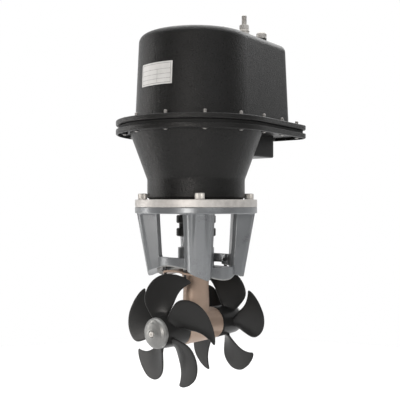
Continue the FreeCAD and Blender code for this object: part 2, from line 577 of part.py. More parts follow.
# --------------------------------------------------------- terminals and gland
bolts, posts, tw, tn = [], [], [], []
for sx in (-1, 1):
    X, Y = "%d * terminal_x" % sx, "terminal_y" if sx > 0 else "terminal_back_y"
    stud = cyl("terminal_stud", "terminal_r", "terminal_nut_top - 510", X, Y, 510)
    free = cyl("terminal_free", "terminal_free_r", "terminal_tip - 1 - terminal_nut_top", X, Y, "terminal_nut_top")
    tipc = doc.addObject("Part::Cone", "terminal_lead")
    tipc.Radius1, tipc.Radius2, tipc.Height = P["terminal_free_r"], P["terminal_free_r"] - 1, 1
    place(tipc, X, Y, "terminal_tip - 1")
    bolts.append(fuse("terminal_bolt", [stud, free, tipc, hexa("terminal_head", "terminal_nut_r", 6, X, Y, 505)]))
    posts.append(cut("terminal_post", fuse("post_blank", [cyl("post_a", "terminal_post_r", "terminal_post_top - cover_top", X, Y, "cover_top"),
                                                          cyl("post_b", 8.9, 3, X, Y, 531)]), cyl("post_c", "terminal_r", 40, X, Y, 520)))
    posts.append(cut("inner_disc", cyl("disc_a", 12, 5, X, Y, 526), cyl("disc_b", "terminal_r", 9, X, Y, 524)))
    tn.append(cut("terminal_nut", hexa("tnut_a", "terminal_nut_r", "terminal_nut_top - terminal_nut_low", X, Y, "terminal_nut_low"), cyl("tnut_b", "terminal_r", 20, X, Y, "terminal_nut_low - 4")))
    tn.append(cut("terminal_inner_nut", hexa("inut_a", "terminal_nut_r", 8, X, Y, 518), cyl("inut_b", "terminal_r", 20, X, Y, 514)))
    for r, z0, z1 in ((10.0, 550.0, 552.0), (8.8, 552.0, 554.6), (10.0, 554.6, 556.6), (8.8, 556.6, 559.0)):
        tw.append(cut("terminal_washer", cyl("tw_a", r, z1 - z0, X, Y, z0), cyl("tw_b", "terminal_r + 0.2", 6, X, Y, z0 - 1)))
node(group("terminal_bolts", bolts), "terminal_bolts")
node(group("terminal_insulators", posts), "terminal_insulators")
node(group("terminal_nuts", tn), "terminal_nuts")
node(group("terminal_washers", tw), "terminal_washers")
node(fuse("gland_body", [cyl("gland_a", "gland_r", "gland_base_top - cover_top", "terminal_x", "gland_y", "cover_top"),
                         cyl("gland_b", 5.9, 14, "terminal_x", "gland_y", 520)]), "gland_body")
gcap = doc.addObject("PartDesign::Body", "gland_cap_body")
s = sketch_on(gcap, "gland_cap_profile", "XZ_Plane")
polygon(s, [(0, "gland_base_top"), ("gland_r", "gland_base_top"), ("gland_r", "gland_cap_top - 1.5"), ("gland_r - 1.5", "gland_cap_top"), (0, "gland_cap_top")])
rev = gcap.newObject("PartDesign::Revolution", "gland_cap_turn")
rev.Profile = s
rev.ReferenceAxis = (s, ["V_Axis"])
gcap.Placement = Placement(Vector(P["terminal_x"], P["gland_y"], 0), Rotation())
bind(gcap, "Placement.Base.x", "terminal_x")
bind(gcap, "Placement.Base.y", "gland_y")
node(gcap, "gland_cap")

# ---------------------------------------------------------------------- motor
node(turned("motor_end_frame", "Z", [
    ("motor_bearing_r + 1", "yoke_bottom - 9"), (58, "yoke_bottom - 9"), (58, "plate_top"), ("yoke_r", "plate_top"), ("yoke_r", "yoke_bottom"), ("motor_bearing_r + 1", "yoke_bottom")]), "motor_end_frame")
node(turned("motor_yoke", "Z", [("yoke_in_r", "yoke_bottom"), ("yoke_r", "yoke_bottom"), ("yoke_r", "yoke_top"), ("yoke_in_r", "yoke_top")]), "motor_yoke")
node(turned("motor_top_cap", "Z", [
    (0, "top_cap_top - 3"), ("top_bearing_r", "top_cap_top - 3"), ("top_bearing_r", "yoke_top"), ("yoke_r", "yoke_top"), ("yoke_r", "top_cap_top - 2"), ("yoke_r - 2", "top_cap_top"), (0, "top_cap_top")]), "motor_top_cap")
bearing_low = turned("bearing_low", "Z", [("shaft_r + fit_gap", "motor_bearing_low"), ("motor_bearing_r", "motor_bearing_low"), ("motor_bearing_r", "motor_bearing_top"), ("shaft_r + fit_gap", "motor_bearing_top")])
bearing_high = turned("bearing_high", "Z", [("8.5 + fit_gap", "yoke_top"), ("top_bearing_r", "yoke_top"), ("top_bearing_r", "yoke_top + 12"), ("8.5 + fit_gap", "yoke_top + 12")])
node(group("motor_bearings", [bearing_low, bearing_high]), "motor_bearings")
poles = []
for k, a in enumerate((0, 90, 180, 270)):
    b = doc.addObject("PartDesign::Body", "pole%d" % k)
    s = sketch_on(b, "pole_profile%d" % k, "XZ_Plane")
    polygon(s, [("armature_r + 1.5", "armature_low"), ("yoke_in_r", "armature_low"), ("yoke_in_r", "armature_high"), ("armature_r + 1.5", "armature_high")])
    rv = b.newObject("PartDesign::Revolution", "pole_turn%d" % k)
    rv.Profile = s
    rv.ReferenceAxis = (s, ["V_Axis"])
    rv.Angle = 62
    rv.Midplane = True
    b.Placement = Placement(Vector(0, 0, 0), Rotation(Vector(0, 0, 1), a))
    poles.append(b)
node(group("field_magnets", poles), "field_magnets")
rods = []
for a in BOLT_ANGLES:
    x, y = at(63, a)
    rods.append(fuse("rod", [cyl("rod_s", 2.9, "top_cap_top - yoke_bottom + 5", x, y, "yoke_bottom - 5"), hexa("rod_h", 5.6, 5, x, y, "top_cap_top")]))
# holes for the through bolts
doc.recompute()


def drilled(name, label, base, xs, r, z, length):
    NODES.remove(base)
    base.Label = name + "_blank"
    o = cut(name + "_drilled", base, fuse(name + "_drill", [cyl("drill", r, length, x, y, z) for x, y in xs]))
    node(o, label)


ROD_XY = [at(63, a) for a in BOLT_ANGLES]
by_label = lambda n: [o for o in NODES if o.Label == n][0]
drilled("end_frame", "motor_end_frame", by_label("motor_end_frame"), ROD_XY, 2.9, 241, 10)
drilled("top_cap", "motor_top_cap", by_label("motor_top_cap"), ROD_XY, 3.0, 405, 40)
node(group("motor_through_bolts", rods), "motor_through_bolts")
holder = turned("brush_plate", "Z", [(27, 364.5), ("yoke_in_r - 0.1", 364.5), ("yoke_in_r - 0.1", 368), (27, 368)])
holder_cut = cut("brush_holder", holder, fuse("holder_drill", [cyl("drill", 3.2, 20, x, y, 355) for x, y in ROD_XY]))
node(holder_cut, "brush_holder")
brushes = []
for a in (45, 135, 225, 315):
    b = box("brush", 14, 11, 15, 0, 0, 0)
    rot = Rotation(Vector(0, 0, 1), a)
    b.Placement = Placement(rot.multVec(Vector(24.4, -5.5, 0)) + Vector(0, 0, 368), rot)
    brushes.append(b)
node(group("brushes", brushes), "brushes")

# the turning parts of the motor
node(turned("motor_shaft", "Z", [(0, 192), ("shaft_r - 1", 192), ("shaft_r", 193), ("shaft_r", 400), (8.5, 400), (8.5, "yoke_top + 11.5"), (0, "yoke_top + 11.5")]), "motor_shaft")
core = turned("armature_disc", "Z", [("shaft_r", "armature_low"), ("armature_r", "armature_low"), ("armature_r", "armature_high"), ("shaft_r", "armature_high")])
s = sketch_on(core, "armature_slot", "XY_Plane", "armature_low - 1")
polygon(s, [(40, -1.6), ("armature_r + 1", -1.6), ("armature_r + 1", 1.6), (40, 1.6)])
pk = pocket(core, "armature_slot_cut", s, "armature_high - armature_low + 2", reverse=True)
polar(core, "armature_slots", pk, 18)
node(core, "armature_core")
node(group("armature_windings", [
    turned("winding_low", "Z", [(22, "armature_low - 12"), (46, "armature_low - 12"), (51, "armature_low - 6"), (51, "armature_low"), (18, "armature_low"), (18, "armature_low - 8")]),
    turned("winding_high", "Z", [(18, "armature_high"), (51, "armature_high"), (51, "armature_high + 5"), (46, "armature_high + 10"), (26, "armature_high + 10"), (18, "armature_high + 6")])]), "armature_windings")
node(turned("commutator", "Z", [("shaft_r", 363), ("commutator_r", 363), ("commutator_r", 390), ("shaft_r", 390)]), "commutator")

# ------------------------------------------------------------------- coupling
pins_xy = [at(25, a) for a in (0, 90, 180, 270)]


def coupling_half_simple(name, z0, z1, bore_r):
    blank = turned(name + "_blank", "Z", [(bore_r, z0), ("coupling_r - 1.5", z0), ("coupling_r", "(%s) + 1.5" % z0), ("coupling_r", "(%s) - 1.5" % z1), ("coupling_r - 1.5", z1), (bore_r, z1)])
    return node(cut(name, blank, fuse(name + "_drill", [cyl("cdrill", 3.5, 60, x, y, 150) for x, y in pins_xy])), name)


coupling_half_simple("coupling_upper", "coupling_mid_top", "coupling_top", "shaft_r")
coupling_half_simple("coupling_lower", "coupling_low", "coupling_mid_low", "drive_shaft_r")
rub = turned("coupling_rubber_blank", "Z", [(13, "coupling_mid_low"), ("coupling_rubber_r", "coupling_mid_low"), ("coupling_rubber_r", "coupling_mid_top"), (13, "coupling_mid_top")])
node(cut("coupling_element", rub, fuse("rubber_drill", [cyl("cdrill", 3.5, 60, x, y, 150) for x, y in pins_xy])), "coupling_element")
node(group("coupling_pins", [cyl("cpin", 3.5, "coupling_top - coupling_low - 2", x, y, "coupling_low + 1") for x, y in pins_xy]), "coupling_pins")

# ----------------------------------------------------------------- drive shaft
node(turned("drive_shaft", "Z", [(0, 13.6), (4.4, 13.6), (5, 14.2), (5, 28), ("drive_shaft_r", 28), ("drive_shaft_r", 180.4), (0, 180.4)]), "drive_shaft")

# ------------------------------------------------------------------- gear leg
torpedo = turned("torpedo", "Y", [(0, "-torpedo_half"), ("torpedo_r - 1.2", "-torpedo_half"), ("torpedo_r", "-torpedo_half + 1.2"), ("torpedo_r", "torpedo_half - 1.2"), ("torpedo_r - 1.2", "torpedo_half"), (0, "torpedo_half")])
strut = doc.addObject("PartDesign::Body", "strut_body")


def ellipse_section(name, z, ax, ay):
    s = sketch_on(strut, name, "XY_Plane", z)
    a, b = val(ay), val(ax)
    e = Part.Ellipse(Vector(0, a, 0), Vector(b, 0, 0), Vector(0, 0, 0)) if a > b else Part.Ellipse(Vector(b, 0, 0), Vector(0, a, 0), Vector(0, 0, 0))
    g = s.addGeometry(e, False)
    s.exposeInternalGeometry(g)
    s.addConstraint(Sketcher.Constraint("Coincident", g, 3, -1, 1))
    return s


secs = [ellipse_section("strut_a", 6, 22.5, 29.5), ellipse_section("strut_b", 30, 21.8, 27.8), ellipse_section("strut_c", 55, "strut_x", "strut_y"),
        ellipse_section("strut_d", 84, "strut_x", "strut_y"), ellipse_section("strut_e", 97, 23.5, 31.0), ellipse_section("strut_f", 108, 31.0, 44.0)]
lf = strut.newObject("PartDesign::AdditiveLoft", "strut_loft")
lf.Profile = secs[0]
lf.Sections = secs[1:]
lf.Ruled = False
limit = cyl("leg_limit", "leg_plate_out_r", 200, 0, -100, 0, YR)
strut_in = common("strut_trim", strut, limit)
saddle_o = cyl("saddle_o", "leg_plate_out_r", 200, 0, -100, 0, YR)
saddle_i = cyl("saddle_i", "leg_plate_in_r", 240, 0, -120, 0, YR)
saddle_shell = cut("saddle_shell", saddle_o, saddle_i)
sadb = doc.addObject("PartDesign::Body", "saddle_plan")
s = sketch_on(sadb, "saddle_plan_s", "XY_Plane", 60)
polygon(s, [("-leg_plate_x", "-leg_plate_y + 12"), ("-leg_plate_x + 12", "-leg_plate_y"), ("leg_plate_x - 12", "-leg_plate_y"), ("leg_plate_x", "-leg_plate_y + 12"),
            ("leg_plate_x", "leg_plate_y - 12"), ("leg_plate_x - 12", "leg_plate_y"), ("-leg_plate_x + 12", "leg_plate_y"), ("-leg_plate_x", "leg_plate_y - 12")])
pad(sadb, "saddle_plan_pad", s, 60)
saddle = common("saddle_plate", saddle_shell, sadb)
neck = cyl("leg_neck", "neck_r", "neck_top - 95", z=95)
leg_solid = fuse("leg_solid", [torpedo, strut_in, saddle, neck])
lv = [cyl("torpedo_bore", "torpedo_bore_r", 120, 0, -60, 0, YR), cyl("leg_bore", "leg_bore_r", 91, z=15), cyl("neck_bore", "neck_bore_r", 60, z=100)]
lv += [cyl("plate_hole", 2.6, 60, "%d * boss_x" % sx, "%d * boss_y" % sy, 80) for sx in (-1, 1) for sy in (-1, 1)]
node(cut("gear_leg", leg_solid, fuse("leg_voids", lv)), "gear_leg")
node(group("leg_screws", [fuse("leg_screw", [cyl("ls_shank", 2.6, "boss_top + 2 - 92", "%d * boss_x" % sx, "%d * boss_y" % sy, 92), cyl("ls_head", 5, 6, "%d * boss_x" % sx, "%d * boss_y" % sy, "boss_top"),
                                             cyl("ls_thick", "leg_screw_r", 13, "%d * boss_x" % sx, "%d * boss_y" % sy, "boss_top - 12")]) for sx in (-1, 1) for sy in (-1, 1)]), "leg_screws")
node(turned("neck_o_ring", "Z", [("neck_r", 108.5), ("neck_r + 2.6", 108.5), ("neck_r + 2.6", 111.5), ("neck_r", 111.5)]), "neck_o_ring")

# bearings, spacer and seal on the drive shaft
node(group("drive_shaft_bearings", [
    turned("dsb_low", "Z", [("drive_shaft_r + fit_gap", 35), ("leg_bore_r", 35), ("leg_bore_r", 46), ("drive_shaft_r + fit_gap", 46)]),
    turned("dsb_high", "Z", [("drive_shaft_r + fit_gap", 94.9), ("leg_bore_r", 94.9), ("leg_bore_r", 105.9), ("drive_shaft_r + fit_gap", 105.9)])]), "drive_shaft_bearings")
node(turned("bearing_spacer", "Z", [("leg_bore_r - 2.5", 46), ("leg_bore_r", 46), ("leg_bore_r", 94.9), ("leg_bore_r - 2.5", 94.9)]), "bearing_spacer")
node(turned("drive_shaft_seal", "Z", [("drive_shaft_r + fit_gap", 132), ("neck_bore_r", 132), ("neck_bore_r", 140), ("drive_shaft_r + fit_gap", 140)]), "drive_shaft_seal")

# ------------------------------------------------- propeller shaft and its ends
node(turned("prop_shaft", "Y", [(0, "-prop_shaft_half"), (6, "-prop_shaft_half"), (6, -84), ("prop_shaft_r", -84), ("prop_shaft_r", 84), (6, 84), (6, "prop_shaft_half"), (0, "prop_shaft_half")]), "prop_shaft_blank")
shaft_blank = NODES.pop()
REAR_TURN = 3.1     # the rear propeller's pin stands this many degrees from the front one's


def cross_pin(name, half, sy):
    """A pin through the shaft near one end, along X (turned a little at the rear)."""
    rot = Rotation(Vector(0, 1, 0), 90 + (REAR_TURN if sy > 0 else 0))
    o = cyl(name, "pin_r", 2 * half, 0, 0, 0)
    o.Placement = Placement(rot.multVec(Vector(0, 0, -half)) + Vector(0, sy * P["pin_y"], 0), rot)
    return o


shaft_voids = [cross_pin("pin_hole", 30.0, sy) for sy in (-1, 1)]
shaft_voids += [cyl("anode_tap", 2.5, 30, 0, -105, 0, YR), cyl("anode_tap", 2.5, 30, 0, 75, 0, YR)]
node(cut("prop_shaft", shaft_blank, fuse("shaft_voids", shaft_voids)), "prop_shaft")

node(group("shaft_carriers", [
    turned("carrier_f", "Y", [("prop_bearing_r", "-torpedo_half"), ("torpedo_bore_r", "-torpedo_half"), ("torpedo_bore_r", -33), (11, -33), (11, -34), ("prop_bearing_r", -34)]),
    turned("carrier_r", "Y", [(11, 33), ("torpedo_bore_r", 33), ("torpedo_bore_r", "torpedo_half"), ("prop_bearing_r", "torpedo_half"), ("prop_bearing_r", 34), (11, 34)])]), "shaft_carriers")
node(group("prop_shaft_bearings", [
    turned("psb_f", "Y", [("prop_shaft_r + fit_gap", -42), ("prop_bearing_r", -42), ("prop_bearing_r", -34), ("prop_shaft_r + fit_gap", -34)]),
    turned("psb_r", "Y", [("prop_shaft_r + fit_gap", 34), ("prop_bearing_r", 34), ("prop_bearing_r", 42), ("prop_shaft_r + fit_gap", 42)])]), "prop_shaft_bearings")
node(group("prop_shaft_seals", [
    turned("pss_f", "Y", [("prop_shaft_r + fit_gap", "-torpedo_half"), ("prop_bearing_r", "-torpedo_half"), ("prop_bearing_r", -42), ("prop_shaft_r + fit_gap", -42)]),
    turned("pss_r", "Y", [("prop_shaft_r + fit_gap", 42), ("prop_bearing_r", 42), ("prop_bearing_r", "torpedo_half"), ("prop_shaft_r + fit_gap", "torpedo_half")])]), "prop_shaft_seals")
node(turned("shaft_spacer", "Y", [("prop_shaft_r", 17), (10.5, 17), (10.5, 33.5), ("prop_shaft_r", 33.5)]), "shaft_spacer")

# ---------------------------------------------------------------- bevel gears
# Straight bevel pair, shafts at 90 degrees, apex at the origin.  Each tooth is
# a tapered block from the inner to the outer end of the face.
NP, NC = int(P["pinion_teeth"]), int(P["crown_teeth"])
RC = P["crown_pitch_r"]
RP = RC * NP / NC
CONE = math.hypot(RC, RP)
MOD = 2 * RC / NC
ADD, DED = 0.78 * MOD, 0.98 * MOD
TH = 0.375 * math.pi * MOD


def bevel(teeth, half_angle, phase, hub_r, hub_end, bore_r, back):
    """A bevel gear about +Z with its apex at the origin, teeth on the cone."""
    inner_l = CONE - P["gear_face"]
    ca, sa = math.cos(half_angle), math.sin(half_angle)

    def on_cone(dist, height):
        # point in the radial plane: along the cone element, then out from the gear body
        return Vector(sa * dist + ca * height, 0, ca * dist - sa * height)

    root_o, root_i = on_cone(CONE, -DED), on_cone(inner_l, -DED * inner_l / CONE)
    prof = [Vector(bore_r, 0, root_i.z), root_i, root_o, Vector(root_o.x + 0.0, 0, back), Vector(hub_r, 0, back), Vector(hub_r, 0, hub_end), Vector(bore_r, 0, hub_end)]
    wire = Part.makePolygon(prof + [prof[0]])
    body = Part.Face(wire).revolve(Vector(0, 0, 0), Vector(0, 0, 1), 360)
    blocks = []
    slope = math.tan(math.radians(20))
    for k in range(teeth):
        ang = phase + 360.0 * k / teeth
        wires = []
        for dist in (inner_l, CONE):
            sc = dist / CONE
            pts = []
            for h, side in ((ADD, 1), (ADD, -1), (-DED - 0.35, -1), (-DED - 0.35, 1)):
                half = (TH / 2 - h * slope) * sc
                p = on_cone(dist, h * sc)
                pts.append(Vector(p.x, side * half, p.z))
            w = Part.makePolygon(pts + [pts[0]])
            w.rotate(Vector(0, 0, 0), Vector(0, 0, 1), ang)
            wires.append(w)
        blocks.append(Part.makeLoft(wires, True, True))
    return body.fuse(blocks).removeSplitter()


pinion_shape = bevel(NP, math.atan2(RP, RC), -90.0, 12.0, 28.0, 5.0, CONE * math.cos(math.atan2(RP, RC)) + 2.2)
f = doc.addObject("Part::Feature", "bevel_pinion")
f.Shape = pinion_shape
f.Placement = Placement()
node(f, "bevel_pinion")
# the crown gear is built about +Z, then turned so that its axis points to -Y
crown_shape = bevel(NC, math.atan2(RC, RP), 90.0 + 180.0 / NC, 13.0, 31.5, P["prop_shaft_r"], CONE * math.cos(math.atan2(RC, RP)) + 5.0)
f = doc.addObject("Part::Feature", "crown_gear")
f.Shape = crown_shape
f.Placement = Placement(Vector(0, 0, 0), Rotation(Vector(1, 0, 0), 90))
node(f, "crown_gear")

# ----------------------------------------------------------------- propellers
# Five wide skewed blades on a helicoid.  Each edge is a table of radius and
# angle about the shaft; the blade leans along Y by its pitch.
LEAD = [(24.0, 58.0), (28.0, 59.5), (34.0, 60.3), (40.0, 60.3), (45.0, 60.2), (50.0, 60.0), (55.0, 59.6), (60.0, 59.0), (68.0, 57.0), (76.0, 53.0), (80.0, 50.0), (84.0, 46.8), (90.0, 41.2), (95.0, 35.0), (99.0, 27.6), (101.3, 19.8), (102.2, 12.0)]
TRAIL = [(24.0, 20.0), (28.0, 17.0), (34.0, 13.5), (40.0, 10.6), (45.0, 8.4), (50.0, 6.9), (60.0, 4.8), (68.0, 2.9), (76.0, 0.5), (84.0, -2.8), (90.0, -5.4), (95.0, -7.8), (98.0, -8.9), (100.0, -8.2), (101.3, -4.5), (102.2, 2.0)]
MID = 18.0


def outline():
    """The blade's edge seen along the shaft, in (across, out) of the blade's middle line."""
    pts = []
    for r, a in LEAD + TRAIL[::-1]:
        b = math.radians(a - MID)
        pts.append((r * math.sin(b), r * math.cos(b)))
    return pts


def edges_of(out):
    """Where the blade starts and ends across, at one distance out from the shaft."""
    pts = outline()
    top = max(range(len(pts)), key=lambda i: pts[i][1])
    found = []
    for chain in (pts[:top + 1], pts[top:][::-1]):
        q = chain[0][0]
        for (q0, s0), (q1, s1) in zip(chain, chain[1:]):
            if s0 <= out <= s1:
                q = q0 + (q1 - q0) * (out - s0) / (s1 - s0)
                break
        found.append(q)
    return found


def through(pts):
    curve = Part.BSplineCurve()
    curve.interpolate(pts)
    return curve.toShape()


def blade(turn):
    """One blade: flat sections square to its middle line, each bent to the helicoid."""
    lead = P["prop_pitch"] / (2 * math.pi)
    n = 6
    wires = []
    highest = max(s for q, s in outline())
    for out in (22.0, 30.0, 38.0, 46.0, 54.0, 62.0, 70.0, 77.0, 83.0, 88.0, 92.0, 95.5, 98.2, 99.9, highest - 0.25):
        q_lead, q_trail = edges_of(out)
        u = (out - 22.0) / (highest - 22.0)
        thick = P["prop_blade_t"] + (P["prop_blade_tip_t"] - P["prop_blade_t"]) * u
        up, low = [], []
        for i in range(n + 1):
            w = i / n
            q = q_lead + (q_trail - q_lead) * w
            ang = math.atan2(q, out)
            y = -P["prop_centre"] - lead * (ang + math.radians(MID - 25.0))
            slope = -lead * out / (out * out + q * q)
            half = thick / 2 * (0.4 + 0.6 * math.sin(math.pi * w) ** 0.6) * math.sqrt(1 + slope * slope)
            up.append(Vector(out, y - half, q))
            low.append(Vector(out, y + half, q))
        low = low[::-1]
        wires.append(Part.Wire([through(up), Part.LineSegment(up[-1], low[0]).toShape(), through(low), Part.LineSegment(low[-1], up[0]).toShape()]))
    b = Part.makeLoft(wires, True, False)
    if b.Volume < 0:
        b.reverse()
    b.rotate(Vector(0, 0, 0), Vector(0, 1, 0), -(turn + MID))
    return b


hub_body = turned("prop_hub", "Y", [
    ("prop_shaft_r + 0.1", "-prop_hub_in"), ("prop_hub_r - 0.8", "-prop_hub_in"), ("prop_hub_r", "-prop_hub_in - 0.8"), ("prop_hub_end_r", "-prop_hub_out + 0.6"), ("prop_hub_end_r - 0.6", "-prop_hub_out"),
    ("prop_cavity_r", "-prop_hub_out"), ("prop_cavity_r", "-prop_cavity_floor"), ("prop_shaft_r + 0.1", "-prop_cavity_floor")])
pin_slot = box("pin_slot", "2 * pin_half + 2", 10, "2 * pin_r + 0.4", "-pin_half - 1", "-pin_y - pin_r - 0.1", "-pin_r - 0.2")
hub_slot = cut("prop_hub_slotted", hub_body, pin_slot)
doc.recompute()
hub_shape = hub_slot.Shape.copy()
core_hole = Part.makeCylinder(P["prop_hub_end_r"] - 3.0, P["prop_hub_out"] - P["prop_hub_in"] + 60, Vector(0, -P["prop_hub_out"] - 30, 0), Vector(0, 1, 0))
blades = [blade(72 * k).cut(core_hole) for k in range(5)]
prop_shape = hub_shape.fuse(blades)
f = doc.addObject("Part::Feature", "propeller_front")
f.Shape = prop_shape
f.Placement = Placement()
node(f, "propeller_front")
f = doc.addObject("Part::Feature", "propeller_rear")
f.Shape = prop_shape.copy()
REAR = Rotation(Vector(0, 1, 0), REAR_TURN).multiply(HALF_TURN)
f.Placement = Placement(Vector(0, 0, 0), REAR)
node(f, "propeller_rear")

node(group("drive_pins", [cross_pin("drive_pin", P["pin_half"], sy) for sy in (-1, 1)]), "drive_pins")
washers, nuts = [], []
for sy in (-1, 1):
    y0 = -86.0 if sy < 0 else 84.0
    washers.append(cut("pwasher", cyl("pw_a", 14, 2, 0, y0, 0, YR), cyl("pw_b", 6.1, 6, 0, y0 - 2, 0, YR)))
    y1 = -97.0 if sy < 0 else 86.0
    nuts.append(cut("pnut", hexa("pn_a", 10.97, 11, 0, y1, 0, YR), cyl("pn_b", 6, 20, 0, y1 - 4, 0, YR)))
node(group("prop_washers", washers), "prop_washers")
node(group("prop_nuts", nuts), "prop_nuts")

# zinc anodes: domed caps on the outer ends, held by one socket screw each
dome = [(2.6, "-prop_hub_out"), ("anode_r", "-prop_hub_out"), ("anode_r", "-prop_hub_out - 1.6")]
for t in (0.16, 0.32, 0.48, 0.64, 0.8):
    ang = math.pi / 2 * t
    dome.append(("anode_r * %.6f" % math.cos(ang * 0.98), "-prop_hub_out - 1.6 - (anode_tip - prop_hub_out - 1.6) * %.6f" % math.sin(ang)))
dome += [(6.6, "-anode_tip"), (6.6, "-anode_tip + 1.4"), (2.6, "-anode_tip + 1.4")]
an_f = turned("anode_f", "Y", dome)
an_r = doc.addObject("Part::Compound", "anode_r_copy")
an_r.Links = [turned("anode_f2", "Y", dome)]
an_r.Placement = Placement(Vector(0, 0, 0), HALF_TURN)
node(group("anodes", [an_f, an_r]), "anodes")
screws = []
for sy in (-1, 1):
    y_head = -val("anode_tip") - 1.0 if sy < 0 else val("anode_tip") - 1.4
    head = cyl("as_head", 4.8, 2.4, 0, y_head, 0, YR)
    shank = cyl("as_shank", 2.5, 24, 0, -val("anode_tip") + 1.2 if sy < 0 else val("anode_tip") - 1.2 - 24, 0, YR)
    so = hexa("as_sock", 2.3, 2.6, 0, y_head - 1 if sy < 0 else y_head + 1.0, 0, YR)
    screws.append(cut("anode_screw", fuse("as_blank", [head, shank]), so))
node(group("anode_screws", screws), "anode_screws")

# ------------------------------------------------------- electrics in the cover
node(group("changeover_relays", [fuse("relay", [cyl("relay_can", 19.5, 58, sx * 30, 134, "pocket_bottom + pocket_wall"), cyl("relay_top", 16, 8, sx * 30, 134, "pocket_bottom + pocket_wall + 58")]) for sx in (-1, 1)]), "changeover_relays")
node(box("control_unit", 96, 70, 26, -48, -35, "top_cap_top"), "control_unit")
bars = []
for sx in (-1, 1):
    ty = "terminal_y" if sx > 0 else "terminal_back_y"
    up = box("bus_up", 20, 3, 125, "%d * terminal_x - 10" % sx, ty + " + 16", 390)
    eye = box("bus_eye", 20, 30, 3, "%d * terminal_x - 10" % sx, ty + " - 11", 515)
    holes = cyl("bus_hole", "terminal_r", 20, "%d * terminal_x" % sx, ty, 505)
    bars.append(cut("bus_bar", fuse("bus_blank", [up, eye]), holes))
node(group("bus_bars", bars), "bus_bars")

doc.recompute()

# --------------------------------------------------------------------- export
bad = []
for o in doc.Objects:
    if any(k in ("Invalid", "Error") for k in o.State):
        bad.append(o.Label + " " + ",".join(o.State))
if bad:
    raise SystemExit("objects failed: " + "; ".join(bad))
seen = set()
for o in NODES:
    sh = o.Shape
    if sh.isNull() or not sh.isValid():
        bad.append(o.Label)
    if o.Label in seen:
        bad.append("twice " + o.Label)
    seen.add(o.Label)
    if sh.Volume <= 0:
        bad.append("volume " + o.Label)
if bad:
    raise SystemExit("bad shapes: " + ", ".join(bad))

for o in NODES:
    o.Shape.exportStep(os.path.join("parts", o.Label + ".step"))
    bb = o.Shape.BoundBox
    print("%-24s solids %2d volume %10.0f  x %.1f..%.1f y %.1f..%.1f z %.1f..%.1f" % (
        o.Label, len(o.Shape.Solids), o.Shape.Volume, bb.XMin, bb.XMax, bb.YMin, bb.YMax, bb.ZMin, bb.ZMax))
print(len(NODES), "nodes")
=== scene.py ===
import bpy, bmesh, math
from mathutils import Vector, Matrix


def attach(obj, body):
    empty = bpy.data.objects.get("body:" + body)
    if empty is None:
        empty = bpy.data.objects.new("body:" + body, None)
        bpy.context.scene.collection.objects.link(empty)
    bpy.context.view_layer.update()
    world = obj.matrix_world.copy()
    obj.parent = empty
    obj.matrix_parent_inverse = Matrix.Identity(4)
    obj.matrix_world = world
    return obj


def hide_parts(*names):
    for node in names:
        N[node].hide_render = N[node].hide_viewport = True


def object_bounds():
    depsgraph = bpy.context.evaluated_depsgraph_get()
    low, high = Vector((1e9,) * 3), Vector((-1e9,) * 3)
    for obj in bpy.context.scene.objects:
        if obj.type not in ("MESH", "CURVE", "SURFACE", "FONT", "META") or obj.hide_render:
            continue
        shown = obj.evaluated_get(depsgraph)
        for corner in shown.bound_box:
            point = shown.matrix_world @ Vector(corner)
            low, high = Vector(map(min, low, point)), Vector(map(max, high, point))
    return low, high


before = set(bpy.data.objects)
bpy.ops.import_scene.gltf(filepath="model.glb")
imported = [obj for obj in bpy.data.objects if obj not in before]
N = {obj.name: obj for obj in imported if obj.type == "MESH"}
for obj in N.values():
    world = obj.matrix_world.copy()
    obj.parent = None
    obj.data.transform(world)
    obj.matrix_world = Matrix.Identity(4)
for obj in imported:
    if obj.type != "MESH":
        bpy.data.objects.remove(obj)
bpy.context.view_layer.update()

MM = 0.001
TAU = 2 * math.pi


